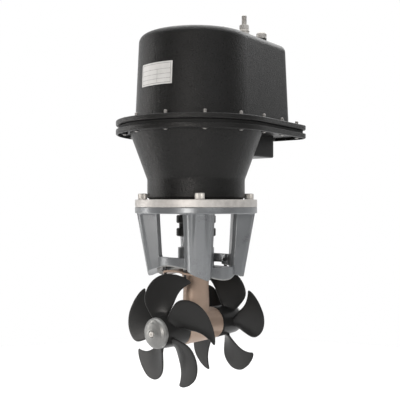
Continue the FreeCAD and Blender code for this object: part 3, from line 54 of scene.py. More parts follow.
# ------------------------------------------------------------------ materials
class Net:
    """A small helper for building node materials."""

    def __init__(self, name):
        self.m = bpy.data.materials.new(name)
        self.m.use_nodes = True
        self.t = self.m.node_tree
        self.bsdf = self.t.nodes["Principled BSDF"]
        self.obj = self.t.nodes.new("ShaderNodeTexCoord").outputs["Object"]

    def set(self, **kw):
        names = {"color": "Base Color", "metal": "Metallic", "rough": "Roughness", "spec": "Specular IOR Level", "coat": "Coat Weight",
                 "coat_rough": "Coat Roughness", "aniso": "Anisotropic", "ior": "IOR"}
        for k, v in kw.items():
            s = self.bsdf.inputs[names[k]]
            s.default_value = (*v, 1.0) if k == "color" else v

    def node(self, kind, **kw):
        n = self.t.nodes.new(kind)
        for k, v in kw.items():
            if hasattr(n, k):
                setattr(n, k, v)
            else:
                n.inputs[k.replace("_", " ").title()].default_value = v
        return n

    def link(self, a, b):
        self.t.links.new(a, b)

    def scaled(self, sx, sy, sz, source=None):
        m = self.t.nodes.new("ShaderNodeMapping")
        m.inputs["Scale"].default_value = (sx, sy, sz)
        self.link(source or self.obj, m.inputs["Vector"])
        return m.outputs["Vector"]

    def noise(self, scale, detail=3.0, rough=0.55, vec=None, distort=0.0):
        n = self.t.nodes.new("ShaderNodeTexNoise")
        n.inputs["Scale"].default_value = scale
        n.inputs["Detail"].default_value = detail
        n.inputs["Roughness"].default_value = rough
        n.inputs["Distortion"].default_value = distort
        self.link(vec or self.obj, n.inputs["Vector"])
        return n.outputs["Fac"]

    def voronoi(self, scale, feature="F1", vec=None):
        n = self.t.nodes.new("ShaderNodeTexVoronoi")
        n.feature = feature
        n.inputs["Scale"].default_value = scale
        self.link(vec or self.obj, n.inputs["Vector"])
        return n.outputs["Distance"]

    def math(self, op, a, b=None, clamp=False):
        n = self.t.nodes.new("ShaderNodeMath")
        n.operation = op
        n.use_clamp = clamp
        for i, v in enumerate((a, b)):
            if v is None:
                continue
            if isinstance(v, (int, float)):
                n.inputs[i].default_value = v
            else:
                self.link(v, n.inputs[i])
        return n.outputs[0]

    def ramp(self, fac, stops):
        n = self.t.nodes.new("ShaderNodeValToRGB")
        els = n.color_ramp.elements
        while len(els) < len(stops):
            els.new(0.5)
        for e, (p, c) in zip(els, stops):
            e.position = p
            e.color = (*c, 1.0) if len(c) == 3 else c
        self.link(fac, n.inputs["Fac"])
        return n.outputs["Color"]

    def range(self, fac, a, b, lo, hi):
        n = self.t.nodes.new("ShaderNodeMapRange")
        n.inputs["From Min"].default_value = a
        n.inputs["From Max"].default_value = b
        n.inputs["To Min"].default_value = lo
        n.inputs["To Max"].default_value = hi
        self.link(fac, n.inputs["Value"])
        return n.outputs["Result"]

    def mix(self, fac, a, b):
        n = self.t.nodes.new("ShaderNodeMix")
        n.data_type = "RGBA"
        for sock, v in ((n.inputs[0], fac), (n.inputs[6], a), (n.inputs[7], b)):
            if isinstance(v, (int, float)):
                sock.default_value = v
            elif isinstance(v, tuple):
                sock.default_value = (*v, 1.0)
            else:
                self.link(v, sock)
        return n.outputs[2]

    def bump(self, height, strength, distance, before=None):
        n = self.t.nodes.new("ShaderNodeBump")
        n.inputs["Strength"].default_value = strength
        n.inputs["Distance"].default_value = distance
        self.link(height, n.inputs["Height"])
        if before is not None:
            self.link(before, n.inputs["Normal"])
        return n.outputs["Normal"]

    def out(self, color=None, rough=None, normal=None, metal=None):
        for sock, v in (("Base Color", color), ("Roughness", rough), ("Normal", normal), ("Metallic", metal)):
            if v is not None:
                self.link(v, self.bsdf.inputs[sock])
        return self.m


def edge_wear_and_highlight(n, lo=0.52, hi=0.60):
    # convex edges from Pointiness, used both as edge wear and as a painted edge highlight
    g = n.t.nodes.new("ShaderNodeNewGeometry")
    return n.range(g.outputs["Pointiness"], lo, hi, 0.0, 1.0)


def powder(name, base, light, grain=360.0, rough=0.36, bump=0.62, spec=0.20):
    """Textured powder coat: a pebbled skin a couple of millimetres across whose crests carry a painted sparkle
    highlight, fine sparkle, a little dust and soft shade changes.
    """
    n = Net(name)
    n.set(metal=0.0, spec=spec)
    big = n.noise(9.0, 4.0, 0.6)
    peel = n.noise(grain, 3.0, 0.62, distort=0.4)
    fine = n.noise(grain * 4.2, 2.0, 0.5)
    dust = n.noise(150.0, 5.0, 0.7)
    c = n.ramp(big, [(0.3, base), (0.75, light)])
    c2 = n.mix(n.range(dust, 0.62, 0.85, 0.0, 0.15), c, tuple(min(1.0, v * 2.0) for v in light))
    # painted highlight: where the peel noise peaks, the pebble crests are painted lighter as sparkle
    c2 = n.mix(n.range(peel, 0.58, 0.78, 0.0, 0.5), c2, tuple(min(1.0, v * 1.7) for v in light))
    r = n.math("ADD", n.range(big, 0.3, 0.7, rough - 0.012, rough + 0.018), n.range(peel, 0.3, 0.7, -0.08, 0.08))
    nb = n.bump(fine, bump * 0.35, 0.0005)
    nb = n.bump(peel, bump, 0.0012, nb)
    return n.out(c2, r, nb)


def turned_metal(name, base, light, rough=0.32, metal=1.0, rings=2600.0, axis="Z", strength=0.12):
    """Lathe-turned metal: fine rings about the axis, a soft mottle and faint stains."""
    n = Net(name)
    n.set(metal=metal)
    sep = n.t.nodes.new("ShaderNodeSeparateXYZ")
    n.link(n.obj, sep.inputs[0])
    a, b = ("X", "Y") if axis == "Z" else ("X", "Z")
    r2 = n.math("ADD", n.math("MULTIPLY", sep.outputs[a], sep.outputs[a]), n.math("MULTIPLY", sep.outputs[b], sep.outputs[b]))
    rad = n.math("SQRT", r2)
    comb = n.t.nodes.new("ShaderNodeCombineXYZ")
    n.link(rad, comb.inputs[0])
    n.link(sep.outputs["Z" if axis == "Z" else "Y"], comb.inputs[2])
    rings_n = n.noise(rings, 2.0, 0.6, comb.outputs[0])
    wide = n.noise(rings / 14, 2.0, 0.6, comb.outputs[0])
    mottle = n.noise(26.0, 4.0, 0.6)
    c = n.ramp(n.math("ADD", n.math("MULTIPLY", mottle, 0.6), n.math("MULTIPLY", wide, 0.4)), [(0.35, base), (0.68, light)])
    r = n.math("ADD", n.range(mottle, 0.3, 0.7, rough - 0.05, rough + 0.07), n.range(rings_n, 0.3, 0.7, -0.06, 0.06))
    nb = n.bump(rings_n, strength, 0.0003)
    return n.out(c, r, nb)


def cast_metal(name, base, mid, light, rough=0.5, metal=0.8, grain=900.0, bump=0.22, wear_and_highlight_color=None):
    """Sand-cast or coated metal: a grainy skin, soft cloudy shade, lighter along convex edges as wear and as a painted
    edge highlight.
    """
    n = Net(name)
    n.set(metal=metal)
    cloud = n.noise(14.0, 5.0, 0.62)
    grainy = n.noise(grain, 3.0, 0.6)
    pits = n.voronoi(grain * 0.35)
    c = n.ramp(n.math("ADD", n.math("MULTIPLY", cloud, 0.75), n.math("MULTIPLY", grainy, 0.25)), [(0.30, base), (0.5, mid), (0.72, light)])
    if wear_and_highlight_color:
        # convex edges painted lighter in noisy patches: partly wear, partly a painted edge highlight
        c = n.mix(n.math("MULTIPLY", edge_wear_and_highlight(n), n.range(n.noise(120.0, 3.0), 0.35, 0.65, 0.15, 0.8)), c, wear_and_highlight_color)
    r = n.math("ADD", n.range(cloud, 0.3, 0.7, rough - 0.07, rough + 0.07), n.range(grainy, 0.3, 0.7, -0.05, 0.05))
    nb = n.bump(grainy, bump, 0.0005)
    nb = n.bump(pits, bump * 0.4, 0.0006, nb)
    return n.out(c, r, nb)


def moulded(name, base, light, rough=0.42, grain=600.0, bump=0.08, spec=0.5):
    """Moulded plastic or composite: smooth with a faint flow mottle and hair scratches."""
    n = Net(name)
    n.set(metal=0.0, spec=spec)
    flow = n.noise(9.0, 2.0, 0.5, distort=0.3)
    fine = n.noise(grain, 2.0, 0.5)
    scr = n.noise(60.0, 2.0, 0.5, n.scaled(1.0, 14.0, 3.0))
    c = n.ramp(flow, [(0.3, base), (0.72, light)])
    r = n.math("ADD", n.range(flow, 0.3, 0.7, rough - 0.02, rough + 0.03), n.range(scr, 0.35, 0.65, -0.02, 0.02))
    nb = n.bump(fine, bump, 0.0004)
    return n.out(c, r, nb)


def brushed(name, base, light, rough=0.3, metal=1.0):
    """Drawn or turned stainless and brass fasteners: short streaks and a little dulling."""
    n = Net(name)
    n.set(metal=metal)
    streak = n.noise(420.0, 3.0, 0.6, n.scaled(1.0, 1.0, 0.12))
    cloud = n.noise(90.0, 3.0, 0.6)
    c = n.ramp(n.math("ADD", n.math("MULTIPLY", streak, 0.5), n.math("MULTIPLY", cloud, 0.5)), [(0.35, base), (0.65, light)])
    r = n.range(streak, 0.3, 0.7, rough - 0.08, rough + 0.1)
    nb = n.bump(streak, 0.12, 0.0002)
    return n.out(c, r, nb)


def film(name, base, light, ink):
    """Blank data plate: pale film with a printed frame and ruled empty fields."""
    n = Net(name)
    n.set(metal=0.0, spec=0.4)
    sep = n.t.nodes.new("ShaderNodeSeparateXYZ")
    n.link(n.obj, sep.inputs[0])
    x = n.math("MULTIPLY", sep.outputs["X"], 1000.0)
    z = n.math("SUBTRACT", n.math("MULTIPLY", sep.outputs["Z"], 1000.0), 451.85)
    ax, az = n.math("ABSOLUTE", x), n.math("ABSOLUTE", z)

    def band(v, at, half):
        return n.math("LESS_THAN", n.math("ABSOLUTE", n.math("SUBTRACT", v, at)), half)

    inside = n.math("MULTIPLY", n.math("LESS_THAN", ax, 33.6), n.math("LESS_THAN", az, 17.2))
    frame_line = n.math("MULTIPLY", n.math("MAXIMUM", band(ax, 33.2, 0.35), band(az, 16.8, 0.35)), inside)
    rules = n.math("MULTIPLY", n.math("MAXIMUM", n.math("MAXIMUM", band(z, 7.0, 0.28), band(z, -1.5, 0.28)), band(z, -9.5, 0.28)), inside)
    post = n.math("MULTIPLY", band(x, 6.0, 0.28), n.math("MULTIPLY", inside, n.math("LESS_THAN", z, 7.0)))
    lines = n.math("MAXIMUM", frame_line, n.math("MAXIMUM", rules, post))
    cloud = n.noise(40.0, 4.0, 0.6)
    rub = n.noise(300.0, 3.0, 0.7)
    c = n.ramp(cloud, [(0.3, base), (0.7, light)])
    c = n.mix(n.math("MULTIPLY", lines, n.range(rub, 0.3, 0.5, 0.55, 0.9)), c, ink)
    r = n.range(cloud, 0.3, 0.7, 0.40, 0.5)
    return n.out(c, r, n.bump(rub, 0.05, 0.0002))


M = {}
M["housing"] = powder("housing_powder_coat", (0.0056, 0.0055, 0.0054), (0.0090, 0.0088, 0.0085), rough=0.33, bump=0.80)
# painted shade: the lower housing and its cone get the same powder coat with a darker base colour, and with less
# specular
M["housing_low_painted_shade"] = powder("housing_powder_coat_lower_painted_shade", (0.0052, 0.0051, 0.0050), (0.0084, 0.0082, 0.0079), rough=0.33, bump=0.7, spec=0.19)
M["plate"] = cast_metal("plate_aluminium", (0.30, 0.285, 0.27), (0.385, 0.367, 0.35), (0.49, 0.47, 0.45), rough=0.52, metal=0.55, grain=520.0, bump=0.20, wear_and_highlight_color=(0.60, 0.58, 0.56))
M["bracket"] = cast_metal("bracket_grey_coat", (0.140, 0.146, 0.153), (0.154, 0.161, 0.168), (0.168, 0.175, 0.182), rough=0.33, metal=0.45, grain=1100.0, bump=0.025, wear_and_highlight_color=(0.24, 0.24, 0.236))
M["bronze"] = cast_metal("cast_bronze", (0.27, 0.195, 0.148), (0.32, 0.235, 0.182), (0.38, 0.288, 0.228), rough=0.48, metal=0.40, grain=1000.0, bump=0.06, wear_and_highlight_color=(0.46, 0.37, 0.30))
M["prop"] = moulded("propeller_composite", (0.0125, 0.0124, 0.0123), (0.0155, 0.0154, 0.0152), rough=0.34, bump=0.02, spec=0.15)
M["zinc"] = cast_metal("cast_zinc", (0.11, 0.11, 0.107), (0.20, 0.20, 0.195), (0.36, 0.36, 0.35), rough=0.42, metal=0.85, grain=1000.0, bump=0.22, wear_and_highlight_color=(0.50, 0.50, 0.49))
M["steel"] = brushed("stainless_steel", (0.44, 0.42, 0.395), (0.60, 0.58, 0.55), rough=0.40, metal=0.35)
M["dark_steel"] = brushed("oiled_steel", (0.16, 0.16, 0.165), (0.30, 0.30, 0.30), rough=0.36)
M["screw_grey"] = brushed("dulled_stud_ends", (0.24, 0.23, 0.22), (0.38, 0.365, 0.35), rough=0.42, metal=0.7)
M["black_zinc"] = brushed("blackened_screws", (0.045, 0.045, 0.047), (0.10, 0.10, 0.10), rough=0.38, metal=0.8)
M["nickel"] = brushed("nickel_plate", (0.34, 0.328, 0.312), (0.48, 0.464, 0.443), rough=0.42, metal=0.55)
M["copper"] = brushed("copper", (0.50, 0.24, 0.13), (0.68, 0.36, 0.22), rough=0.34)
M["rubber"] = moulded("black_rubber", (0.006, 0.006, 0.006), (0.012, 0.012, 0.012), rough=0.62, bump=0.16, spec=0.2)
M["gasket"] = moulded("grey_fibre_gasket", (0.22, 0.22, 0.215), (0.32, 0.32, 0.31), rough=0.7, bump=0.3)
M["plastic"] = moulded("black_plastic", (0.006, 0.006, 0.0062), (0.011, 0.011, 0.0112), rough=0.38, spec=0.35)
M["yoke"] = powder("yoke_paint", (0.010, 0.010, 0.011), (0.018, 0.018, 0.020))
M["coupling"] = cast_metal("coupling_black_iron", (0.007, 0.007, 0.007), (0.011, 0.011, 0.011), (0.019, 0.019, 0.019), rough=0.48, metal=0.25, grain=700.0, bump=0.15)
M["label"] = film("label_film", (0.44, 0.435, 0.425), (0.52, 0.515, 0.505), (0.10, 0.10, 0.10))

LOOK = {
    "housing": ["top_cover"], "housing_low_painted_shade": ["lower_housing"], "plate": ["motor_plate", "motor_end_frame", "motor_top_cap"], "bracket": ["motor_bracket"],
    "bronze": ["gear_leg", "shaft_carriers"], "prop": ["propeller_front", "propeller_rear"], "zinc": ["anodes"],
    "steel": ["plate_bolts", "plate_washers", "prop_nuts", "prop_washers", "anode_screws", "drive_pins", "prop_shaft", "drive_shaft", "motor_through_bolts",
              "terminal_washers", "coupling_pins"],
    "screw_grey": ["flange_studs"],
    "black_zinc": ["flange_nuts", "flange_washers", "leg_screws"],
    "dark_steel": ["motor_shaft", "armature_core", "motor_bearings", "drive_shaft_bearings", "prop_shaft_bearings", "bevel_pinion", "crown_gear", "shaft_spacer", "bearing_spacer", "field_magnets"],
    "yoke": ["motor_yoke", "changeover_relays"], "coupling": ["coupling_upper", "coupling_lower"], "copper": ["armature_windings", "commutator", "bus_bars"],
    "nickel": ["terminal_bolts", "terminal_nuts", "gland_cap"], "rubber": ["cover_gasket", "collar_seal", "coupling_element", "neck_o_ring", "drive_shaft_seal", "prop_shaft_seals"],
    "gasket": ["saddle_gasket"], "plastic": ["terminal_insulators", "gland_body", "control_unit", "brush_holder", "brushes"], "label": ["data_plate"],
}


def dress(obj, material):
    obj.data.materials.clear()
    obj.data.materials.append(material)


for key, names in LOOK.items():
    for name in names:
        dress(N[name], M[key])


# --------------------------------------------------------------- mesh helpers
def make(name, verts, faces, material, smooth_angle=40.0):
    me = bpy.data.meshes.new(name)
    me.from_pydata([tuple(v) for v in verts], [], faces)
    me.validate()
    me.update()
    ob = bpy.data.objects.new(name, me)
    bpy.context.scene.collection.objects.link(ob)
    bm = bmesh.new()
    bm.from_mesh(me)
    bmesh.ops.remove_doubles(bm, verts=bm.verts, dist=1e-7)
    bmesh.ops.recalc_face_normals(bm, faces=bm.faces)
    bm.to_mesh(me)
    bm.free()
    shade(ob, smooth_angle)
    if material:
        dress(ob, material)
    return ob


def shade(ob, angle=40.0):
    me = ob.data
    for p in me.polygons:
        p.use_smooth = True
    bm = bmesh.new()
    bm.from_mesh(me)
    lim = math.radians(angle)
    for e in bm.edges:
        e.smooth = not (len(e.link_faces) == 2 and e.calc_face_angle(0.0) > lim)
    bm.to_mesh(me)
    bm.free()


def bake(ob):
    """Apply the modifiers to the object's mesh."""
    dg = bpy.context.evaluated_depsgraph_get()
    dg.update()
    me = bpy.data.meshes.new_from_object(ob.evaluated_get(dg))
    ob.modifiers.clear()
    old = ob.data
    ob.data = me
    if old.users == 0:
        bpy.data.meshes.remove(old)
    return ob


def lathe(name, axis, profile, material, segs=96, smooth_angle=35.0, centre=(0, 0, 0), closed=True):
    """Turn a closed (radius, height) profile about Z or Y through the centre."""
    verts, faces = [], []
    n = len(profile)
    for k in range(segs):
        a = TAU * k / segs
        for r, h in profile:
            p = (r * math.cos(a), r * math.sin(a), h) if axis == "Z" else (r * math.cos(a), h, r * math.sin(a))
            verts.append(Vector(p) + Vector(centre))
    for k in range(segs):
        k2 = (k + 1) % segs
        for i in range(n if closed else n - 1):
            j = (i + 1) % n
            if profile[i][0] < 1e-9 and profile[j][0] < 1e-9:
                continue
            faces.append((k * n + i, k * n + j, k2 * n + j, k2 * n + i))
    return make(name, verts, faces, material, smooth_angle)


def join(objs, name):
    bpy.ops.object.select_all(action="DESELECT")
    for o in objs:
        o.select_set(True)
    bpy.context.view_layer.objects.active = objs[0]
    bpy.ops.object.join()
    objs[0].name = name
    return objs[0]


def boolean(ob, other, op="UNION", drop=True):
    m = ob.modifiers.new("b", "BOOLEAN")
    m.operation = op
    m.solver = "EXACT"
    m.object = other
    bake(ob)
    if drop:
        bpy.data.objects.remove(other)
    return ob


def cast(node, name, voxel, rounds, material, ratio=None):
    """A casting's skin from the CAD piece: even faces, with its sharp corners softened to small radii."""
    ob = bpy.data.objects.new(name, N[node].data.copy())
    bpy.context.scene.collection.objects.link(ob)
    m = ob.modifiers.new("r", "REMESH")
    m.mode = "VOXEL"
    m.voxel_size = voxel
    m.adaptivity = 0.0
    s = ob.modifiers.new("s", "SMOOTH")
    s.factor = 0.5
    s.iterations = rounds
    if ratio:
        d = ob.modifiers.new("d", "DECIMATE")
        d.ratio = ratio
    bake(ob)
    for p in ob.data.polygons:
        p.use_smooth = True
    dress(ob, material)
    return ob


# ----------------------------------------------------------------- propellers
LEAD_IN = 156.4 / TAU
MID = math.radians(18.0)
LEADING = [(23.0, 57.0), (28.0, 59.5), (34.0, 60.3), (40.0, 60.3), (50.0, 60.0), (60.0, 59.0), (68.0, 57.0), (76.0, 53.0), (84.0, 46.8), (90.0, 41.2), (95.0, 35.0), (99.0, 27.6), (101.2, 19.8)]
TIP = (102.1, 9.0)
TRAILING = [(23.0, 20.0), (28.0, 17.0), (34.0, 13.5), (40.0, 10.6), (50.0, 6.9), (60.0, 4.8), (68.0, 2.9), (76.0, 0.5), (84.0, -2.8), (90.0, -5.4), (95.0, -7.8), (98.0, -8.6), (100.4, -6.2), (101.7, 0.0)]


def flat(r, a):
    b = math.radians(a) - MID
    return Vector((r * math.sin(b), r * math.cos(b)))


def curve_through(pts, count, ease=1.6):
    """Points along a smooth curve through pts, closer together towards its end."""
    P = [pts[0] * 2 - pts[1]] + pts + [pts[-1] * 2 - pts[-2]]
    fine = []
    for i in range(1, len(P) - 2):
        p0, p1, p2, p3 = P[i - 1:i + 3]
        for k in range(24):
            t = k / 24
            fine.append(0.5 * ((2 * p1) + (p2 - p0) * t + (2 * p0 - 5 * p1 + 4 * p2 - p3) * t * t + (3 * p1 - p0 - 3 * p2 + p3) * t ** 3))
    fine.append(P[-2])
    acc = [0.0]
    for a, b in zip(fine, fine[1:]):
        acc.append(acc[-1] + (b - a).length)
    out, j = [], 0
    for k in range(count):
        d = acc[-1] * (1 - (1 - k / (count - 1)) ** ease)
        while j < len(acc) - 2 and acc[j + 1] < d:
            j += 1
        f = (d - acc[j]) / max(1e-9, acc[j + 1] - acc[j])
        out.append(fine[j].lerp(fine[j + 1], min(1.0, f)))
    return out


def seg_dist(p, a, b):
    d = b - a
    t = max(0.0, min(1.0, (p - a).dot(d) / max(1e-12, d.dot(d))))
    return (p - a - d * t).length


def blade_mesh(rows=46, cols=26):
    le = curve_through([flat(r, a) for r, a in LEADING] + [flat(*TIP)], rows)
    te = curve_through([flat(r, a) for r, a in TRAILING] + [flat(*TIP)], rows)
    edge = le + te[::-1]
    verts, faces = [], []
    idx = {}

    def add(p2, half, side):
        q, s = p2
        ang = math.atan2(q, s)
        y = -78.0 - LEAD_IN * (ang + MID - math.radians(25.0))
        slope = LEAD_IN * s / (s * s + q * q)
        nrm = Vector((LEAD_IN * q / (s * s + q * q), -1.0, -slope)).normalized()
        p = Vector((s, y, q)) + nrm * half * side
        verts.append(p)
        return len(verts) - 1

    near = (0.0, 0.25, 0.8, 1.7, 3.0, 4.8)
    for i in range(rows):
        chord = (le[i] - te[i]).length
        tip_d = ((le[i] + te[i]) / 2 - le[-1]).length
        squeeze = min(1.0, chord / 16.0)
        if chord > 0.01:
            first = [v * squeeze / chord for v in near]
            n_mid = cols + 1 - 2 * len(first)
            at, to = first[-1], 1.0 - first[-1]
            ws = first + [at + (to - at) * (k + 1) / (n_mid + 1) for k in range(n_mid)] + [1.0 - v for v in first[::-1]]
        for j in range(cols + 1):
            w = ws[j]
            p2 = le[i].lerp(te[i], w)
            if i == rows - 1:
                p2 = le[-1]
            if j in (0, cols) or i == rows - 1:
                key = (i, j) if i < rows - 1 else (i, 0)
                if key not in idx:
                    idx[key] = (add(p2, 0.0, 1),) * 2
                idx[(i, j)] = idx[key]
                continue
            e = min(w, 1.0 - w) * chord / squeeze
            r = p2.length
            u = (r - 28.0) / 74.0
            thick = 5.0 - 2.3 * max(0.0, u)
            f = math.sqrt(max(0.0, 1 - (1 - min(1.0, e / 4.2)) ** 2))
            f *= math.sqrt(max(0.0, 1 - (1 - min(1.0, tip_d / 9.0)) ** 2))
            # a fuller middle, thinning gently to both edges
            f *= 0.72 + 0.28 * math.sin(math.pi * min(1.0, max(0.0, w))) ** 0.8
            flare = 2.6 * max(0.0, 1 - max(0.0, r - 27.8) / 7.0) ** 2
            half = min((thick / 2 + flare) * f, chord * 0.3)
            idx[(i, j)] = (add(p2, half, 1), add(p2, half, -1))
    for i in range(rows - 1):
        for j in range(cols):
            for side in (0, 1):
                q = [idx[(i, j)][side], idx[(i, j + 1)][side], idx[(i + 1, j + 1)][side], idx[(i + 1, j)][side]]
                q = [v for k, v in enumerate(q) if v not in q[:k]]
                if len(q) > 2:
                    faces.append(tuple(q if side == 0 else q[::-1]))
    root = [idx[(0, j)][0] for j in range(cols + 1)] + [idx[(0, j)][1] for j in range(cols - 1, 0, -1)]
    faces.append(tuple(root[::-1]))
    return verts, faces


def propeller(name, turn):
    hub = lathe(name, "Y", [(8.1 * MM, -47.0 * MM), (27.6 * MM, -47.0 * MM), (28.9 * MM, -47.3 * MM), (29.5 * MM, -48.3 * MM), (29.45 * MM, -52 * MM), (29.0 * MM, -66 * MM), (28.6 * MM, -78 * MM),
                            (28.1 * MM, -90 * MM), (27.6 * MM, -101.6 * MM), (27.3 * MM, -102.6 * MM), (26.6 * MM, -103.0 * MM), (20.5 * MM, -103.0 * MM), (20.5 * MM, -84.0 * MM), (8.1 * MM, -84.0 * MM)], None, 160)
    verts, faces = blade_mesh()
    objs = []
    for k in range(5):
        rot = Matrix.Rotation(-(MID + math.radians(72 * k)), 4, "Y")
        b = make(name + "_blade%d" % k, [rot @ (v * MM) for v in verts], faces, None)
        # the blade's root ends inside the hub's wall
        core = lathe("core", "Y", [(0.0, -120 * MM), (25.0 * MM, -120 * MM), (25.0 * MM, -40 * MM), (0.0, -40 * MM)], None, 96)
        boolean(b, core, "DIFFERENCE")
        objs.append(b)
    for b in objs:
        boolean(hub, b, "UNION")
    hub.data.transform(turn)
    shade(hub, 38.0)
    dress(hub, M["prop"])
    return hub


HALF = Matrix.Rotation(math.pi, 4, "Z")
front = propeller("front_propeller", Matrix.Identity(4))
rear = bpy.data.objects.new("rear_propeller", front.data.copy())
bpy.context.scene.collection.objects.link(rear)
rear.data.transform(Matrix.Rotation(math.radians(3.1), 4, "Y") @ HALF)
for ob, node in ((front, "propeller_front"), (rear, "propeller_rear")):
    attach(ob, "prop_line")
    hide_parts(node)

# ------------------------------------------------------------------- castings
bracket = cast("motor_bracket", "bracket_casting", 0.0010, 3, M["bracket"])
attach(bracket, "frame")
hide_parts("motor_bracket")
leg = cast("gear_leg", "leg_casting", 0.0010, 5, M["bronze"])
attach(leg, "frame")
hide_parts("gear_leg")

# ------------------------------------------------------------------- fittings
def rod(name, r, pitch, z0, z1, depth=None, lead=0.9, segs=28, per=6, root=False):
    """A screw end with a real helical thread and a chamfered tip, standing on Z."""
    depth = depth if depth is not None else pitch * 0.5
    rows = max(4, int(round((z1 - z0) / pitch * per)))
    verts, faces = [], []
    for i in range(rows + 1):
        z = z0 + (z1 - z0) * i / rows
        cap = min(1.0, max(0.0, (z1 - z) / lead))
        lim = r - (1.0 - cap) * lead
        for k in range(segs):
            t = (z / pitch - k / segs) % 1.0
            w = abs(2 * t - 1)
            rr = min(r - depth * (1 - min(1.0, w * 1.25)), lim)
            a = TAU * k / segs
            verts.append((rr * math.cos(a) * MM, rr * math.sin(a) * MM, z * MM))
    for i in range(rows):
        for k in range(segs):
            k2 = (k + 1) % segs
            faces.append((i * segs + k, i * segs + k2, (i + 1) * segs + k2, (i + 1) * segs + k))
    faces.append(tuple(range(segs - 1, -1, -1)))
    faces.append(tuple(rows * segs + k for k in range(segs)))
    return make(name, verts, faces, None, 50.0)


def hexagon(name, r, z0, z1):
    v = [(r * math.cos(TAU * k / 6) * MM, r * math.sin(TAU * k / 6) * MM, z * MM) for z in (z0, z1) for k in range(6)]
    f = [(k, (k + 1) % 6, 6 + (k + 1) % 6, 6 + k) for k in range(6)] + [tuple(range(5, -1, -1)), tuple(range(6, 12))]
    return make(name, v, f, None, 30.0)


def turned_mm(name, prof, segs=64, angle=35.0):
    return lathe(name, "Z", [(r * MM, z * MM) for r, z in prof], None, segs, angle)


def nut(name, r, bore, z0, z1):
    """Hexagon nut, its corners bevelled at both faces and its bore countersunk."""
    flat_r = r * math.cos(math.pi / 6)
    d = (r - flat_r + 0.25) * 0.62
    h = hexagon(name, r, z0, z1)
    c = turned_mm("c", [(bore + 0.7, z0), (flat_r - 0.25, z0), (r + 0.05, z0 + d), (r + 0.05, z1 - d), (flat_r - 0.25, z1), (bore + 0.7, z1), (bore, z1 - 0.7), (bore, z0 + 0.7)], 72)
    return boolean(h, c, "INTERSECT")


def washer(name, r, bore, z0, z1, e=0.25):
    return turned_mm(name, [(bore, z0), (r - e, z0), (r, z0 + e), (r, z1 - e), (r - e, z1), (bore, z1)], 64)


def cap_head(name, r, z0, z1, sock_r, depth, flutes=40):
    """Socket head with a knurled side, a bevelled crown and a hexagon socket."""
    segs = flutes * 4
    prof = [(0.0, z0, 0), (r - 0.5, z0, 0), (r, z0 + 0.5, 0.5), (r, z0 + 1.0, 1), (r, z1 - 1.6, 1), (r - 0.1, z1 - 1.1, 0.4), (r - 0.9, z1 - 0.15, 0), (r - 1.3, z1, 0), (0.0, z1, 0)]
    verts, faces = [], []
    for rr, z, kn in prof:
        for k in range(segs):
            a = TAU * k / segs
            q = rr - kn * 0.22 * (1 + math.cos(flutes * a)) if rr > 0 else 0.0
            verts.append((q * math.cos(a) * MM, q * math.sin(a) * MM, z * MM))
    for i in range(len(prof) - 1):
        for k in range(segs):
            k2 = (k + 1) % segs
            faces.append((i * segs + k, i * segs + k2, (i + 1) * segs + k2, (i + 1) * segs + k))
    ob = make(name, verts, faces, None, 35.0)
    return boolean(ob, hexagon("s", sock_r, z1 - depth, z1 + 1), "DIFFERENCE")


def copies(src, places, name):
    """One object made of the source's mesh set down at each (x, y, z, turn)."""
    objs = []
    for x, y, z, turn in places:
        o = bpy.data.objects.new(name, src.data.copy())
        bpy.context.scene.collection.objects.link(o)
        o.data.transform(Matrix.Translation((x * MM, y * MM, z * MM)) @ Matrix.Rotation(math.radians(turn), 4, "Z"))
        objs.append(o)
    bpy.data.objects.remove(src)
    return join(objs, name) if len(objs) > 1 else objs[0]


def fit(ob, node, body="frame", material=None, angle=35.0):
    shade(ob, angle)
    for key, names in LOOK.items():
        if node in names:
            dress(ob, material or M[key])
    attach(ob, body)
    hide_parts(node)
    return ob


BOLTS = [(99.0 * math.cos(math.radians(a)), 99.0 * math.sin(math.radians(a)), 0, a * 1.7) for a in (45, 135, 225, 315)]
head = cap_head("head", 8.5, 234.5, 244.5, 4.6, 5.0)
shank = rod("shank", 5.0, 1.5, 192.0, 206.0, segs=24)
upper = turned_mm("upper", [(0.0, 205.8), (5.0, 205.8), (5.0, 234.7), (0.0, 234.7)], 32)
fit(copies(join([head, upper, shank], "bolt"), BOLTS, "plate_screws"), "plate_bolts")
fit(copies(washer("w", 8.9, 5.2, 233.3, 234.5), BOLTS, "plate_screw_washers"), "plate_washers")

STUDS = [(133.6, 29.2), (124.4, 98.1), (114.2, 163.6), (42.0, 186.0), (-133.0, 24.0), (-124.4, 98.1), (-114.2, 163.6), (-42.0, 186.0)]
STUDS += [(131.0 * math.cos(math.radians(a)), 131.0 * math.sin(math.radians(a))) for a in (-12.8, -42.2, -71.7, -101.0, -130.4, -159.8)]
SP = [(x, y, 0, 17.0 * i) for i, (x, y) in enumerate(STUDS)]
top = rod("top", 3.2, 1.0, 376.6, 384.2, depth=0.38, lead=0.7, segs=24, per=5)
top = boolean(top, hexagon("s", 1.8, 381.7, 385.0), "DIFFERENCE")
low = rod("low", 3.0, 1.0, 350.8, 358.0, depth=0.36, lead=0.7, segs=24, per=5)
low.data.transform(Matrix.Translation((0, 0, 708.8 * MM)) @ Matrix.Rotation(math.pi, 4, "X"))
mid = turned_mm("mid", [(0.0, 357.9), (2.98, 357.9), (2.98, 376.7), (0.0, 376.7)], 24)
fit(copies(join([top, low, mid], "stud"), SP, "flange_stud_set"), "flange_studs")
fit(copies(nut("n", 5.6, 3.0, 351.9, 356.3), SP, "flange_nut_set"), "flange_nuts")
fit(copies(washer("w", 6.0, 3.2, 356.3, 357.5, 0.2), SP, "flange_washer_set"), "flange_washers")

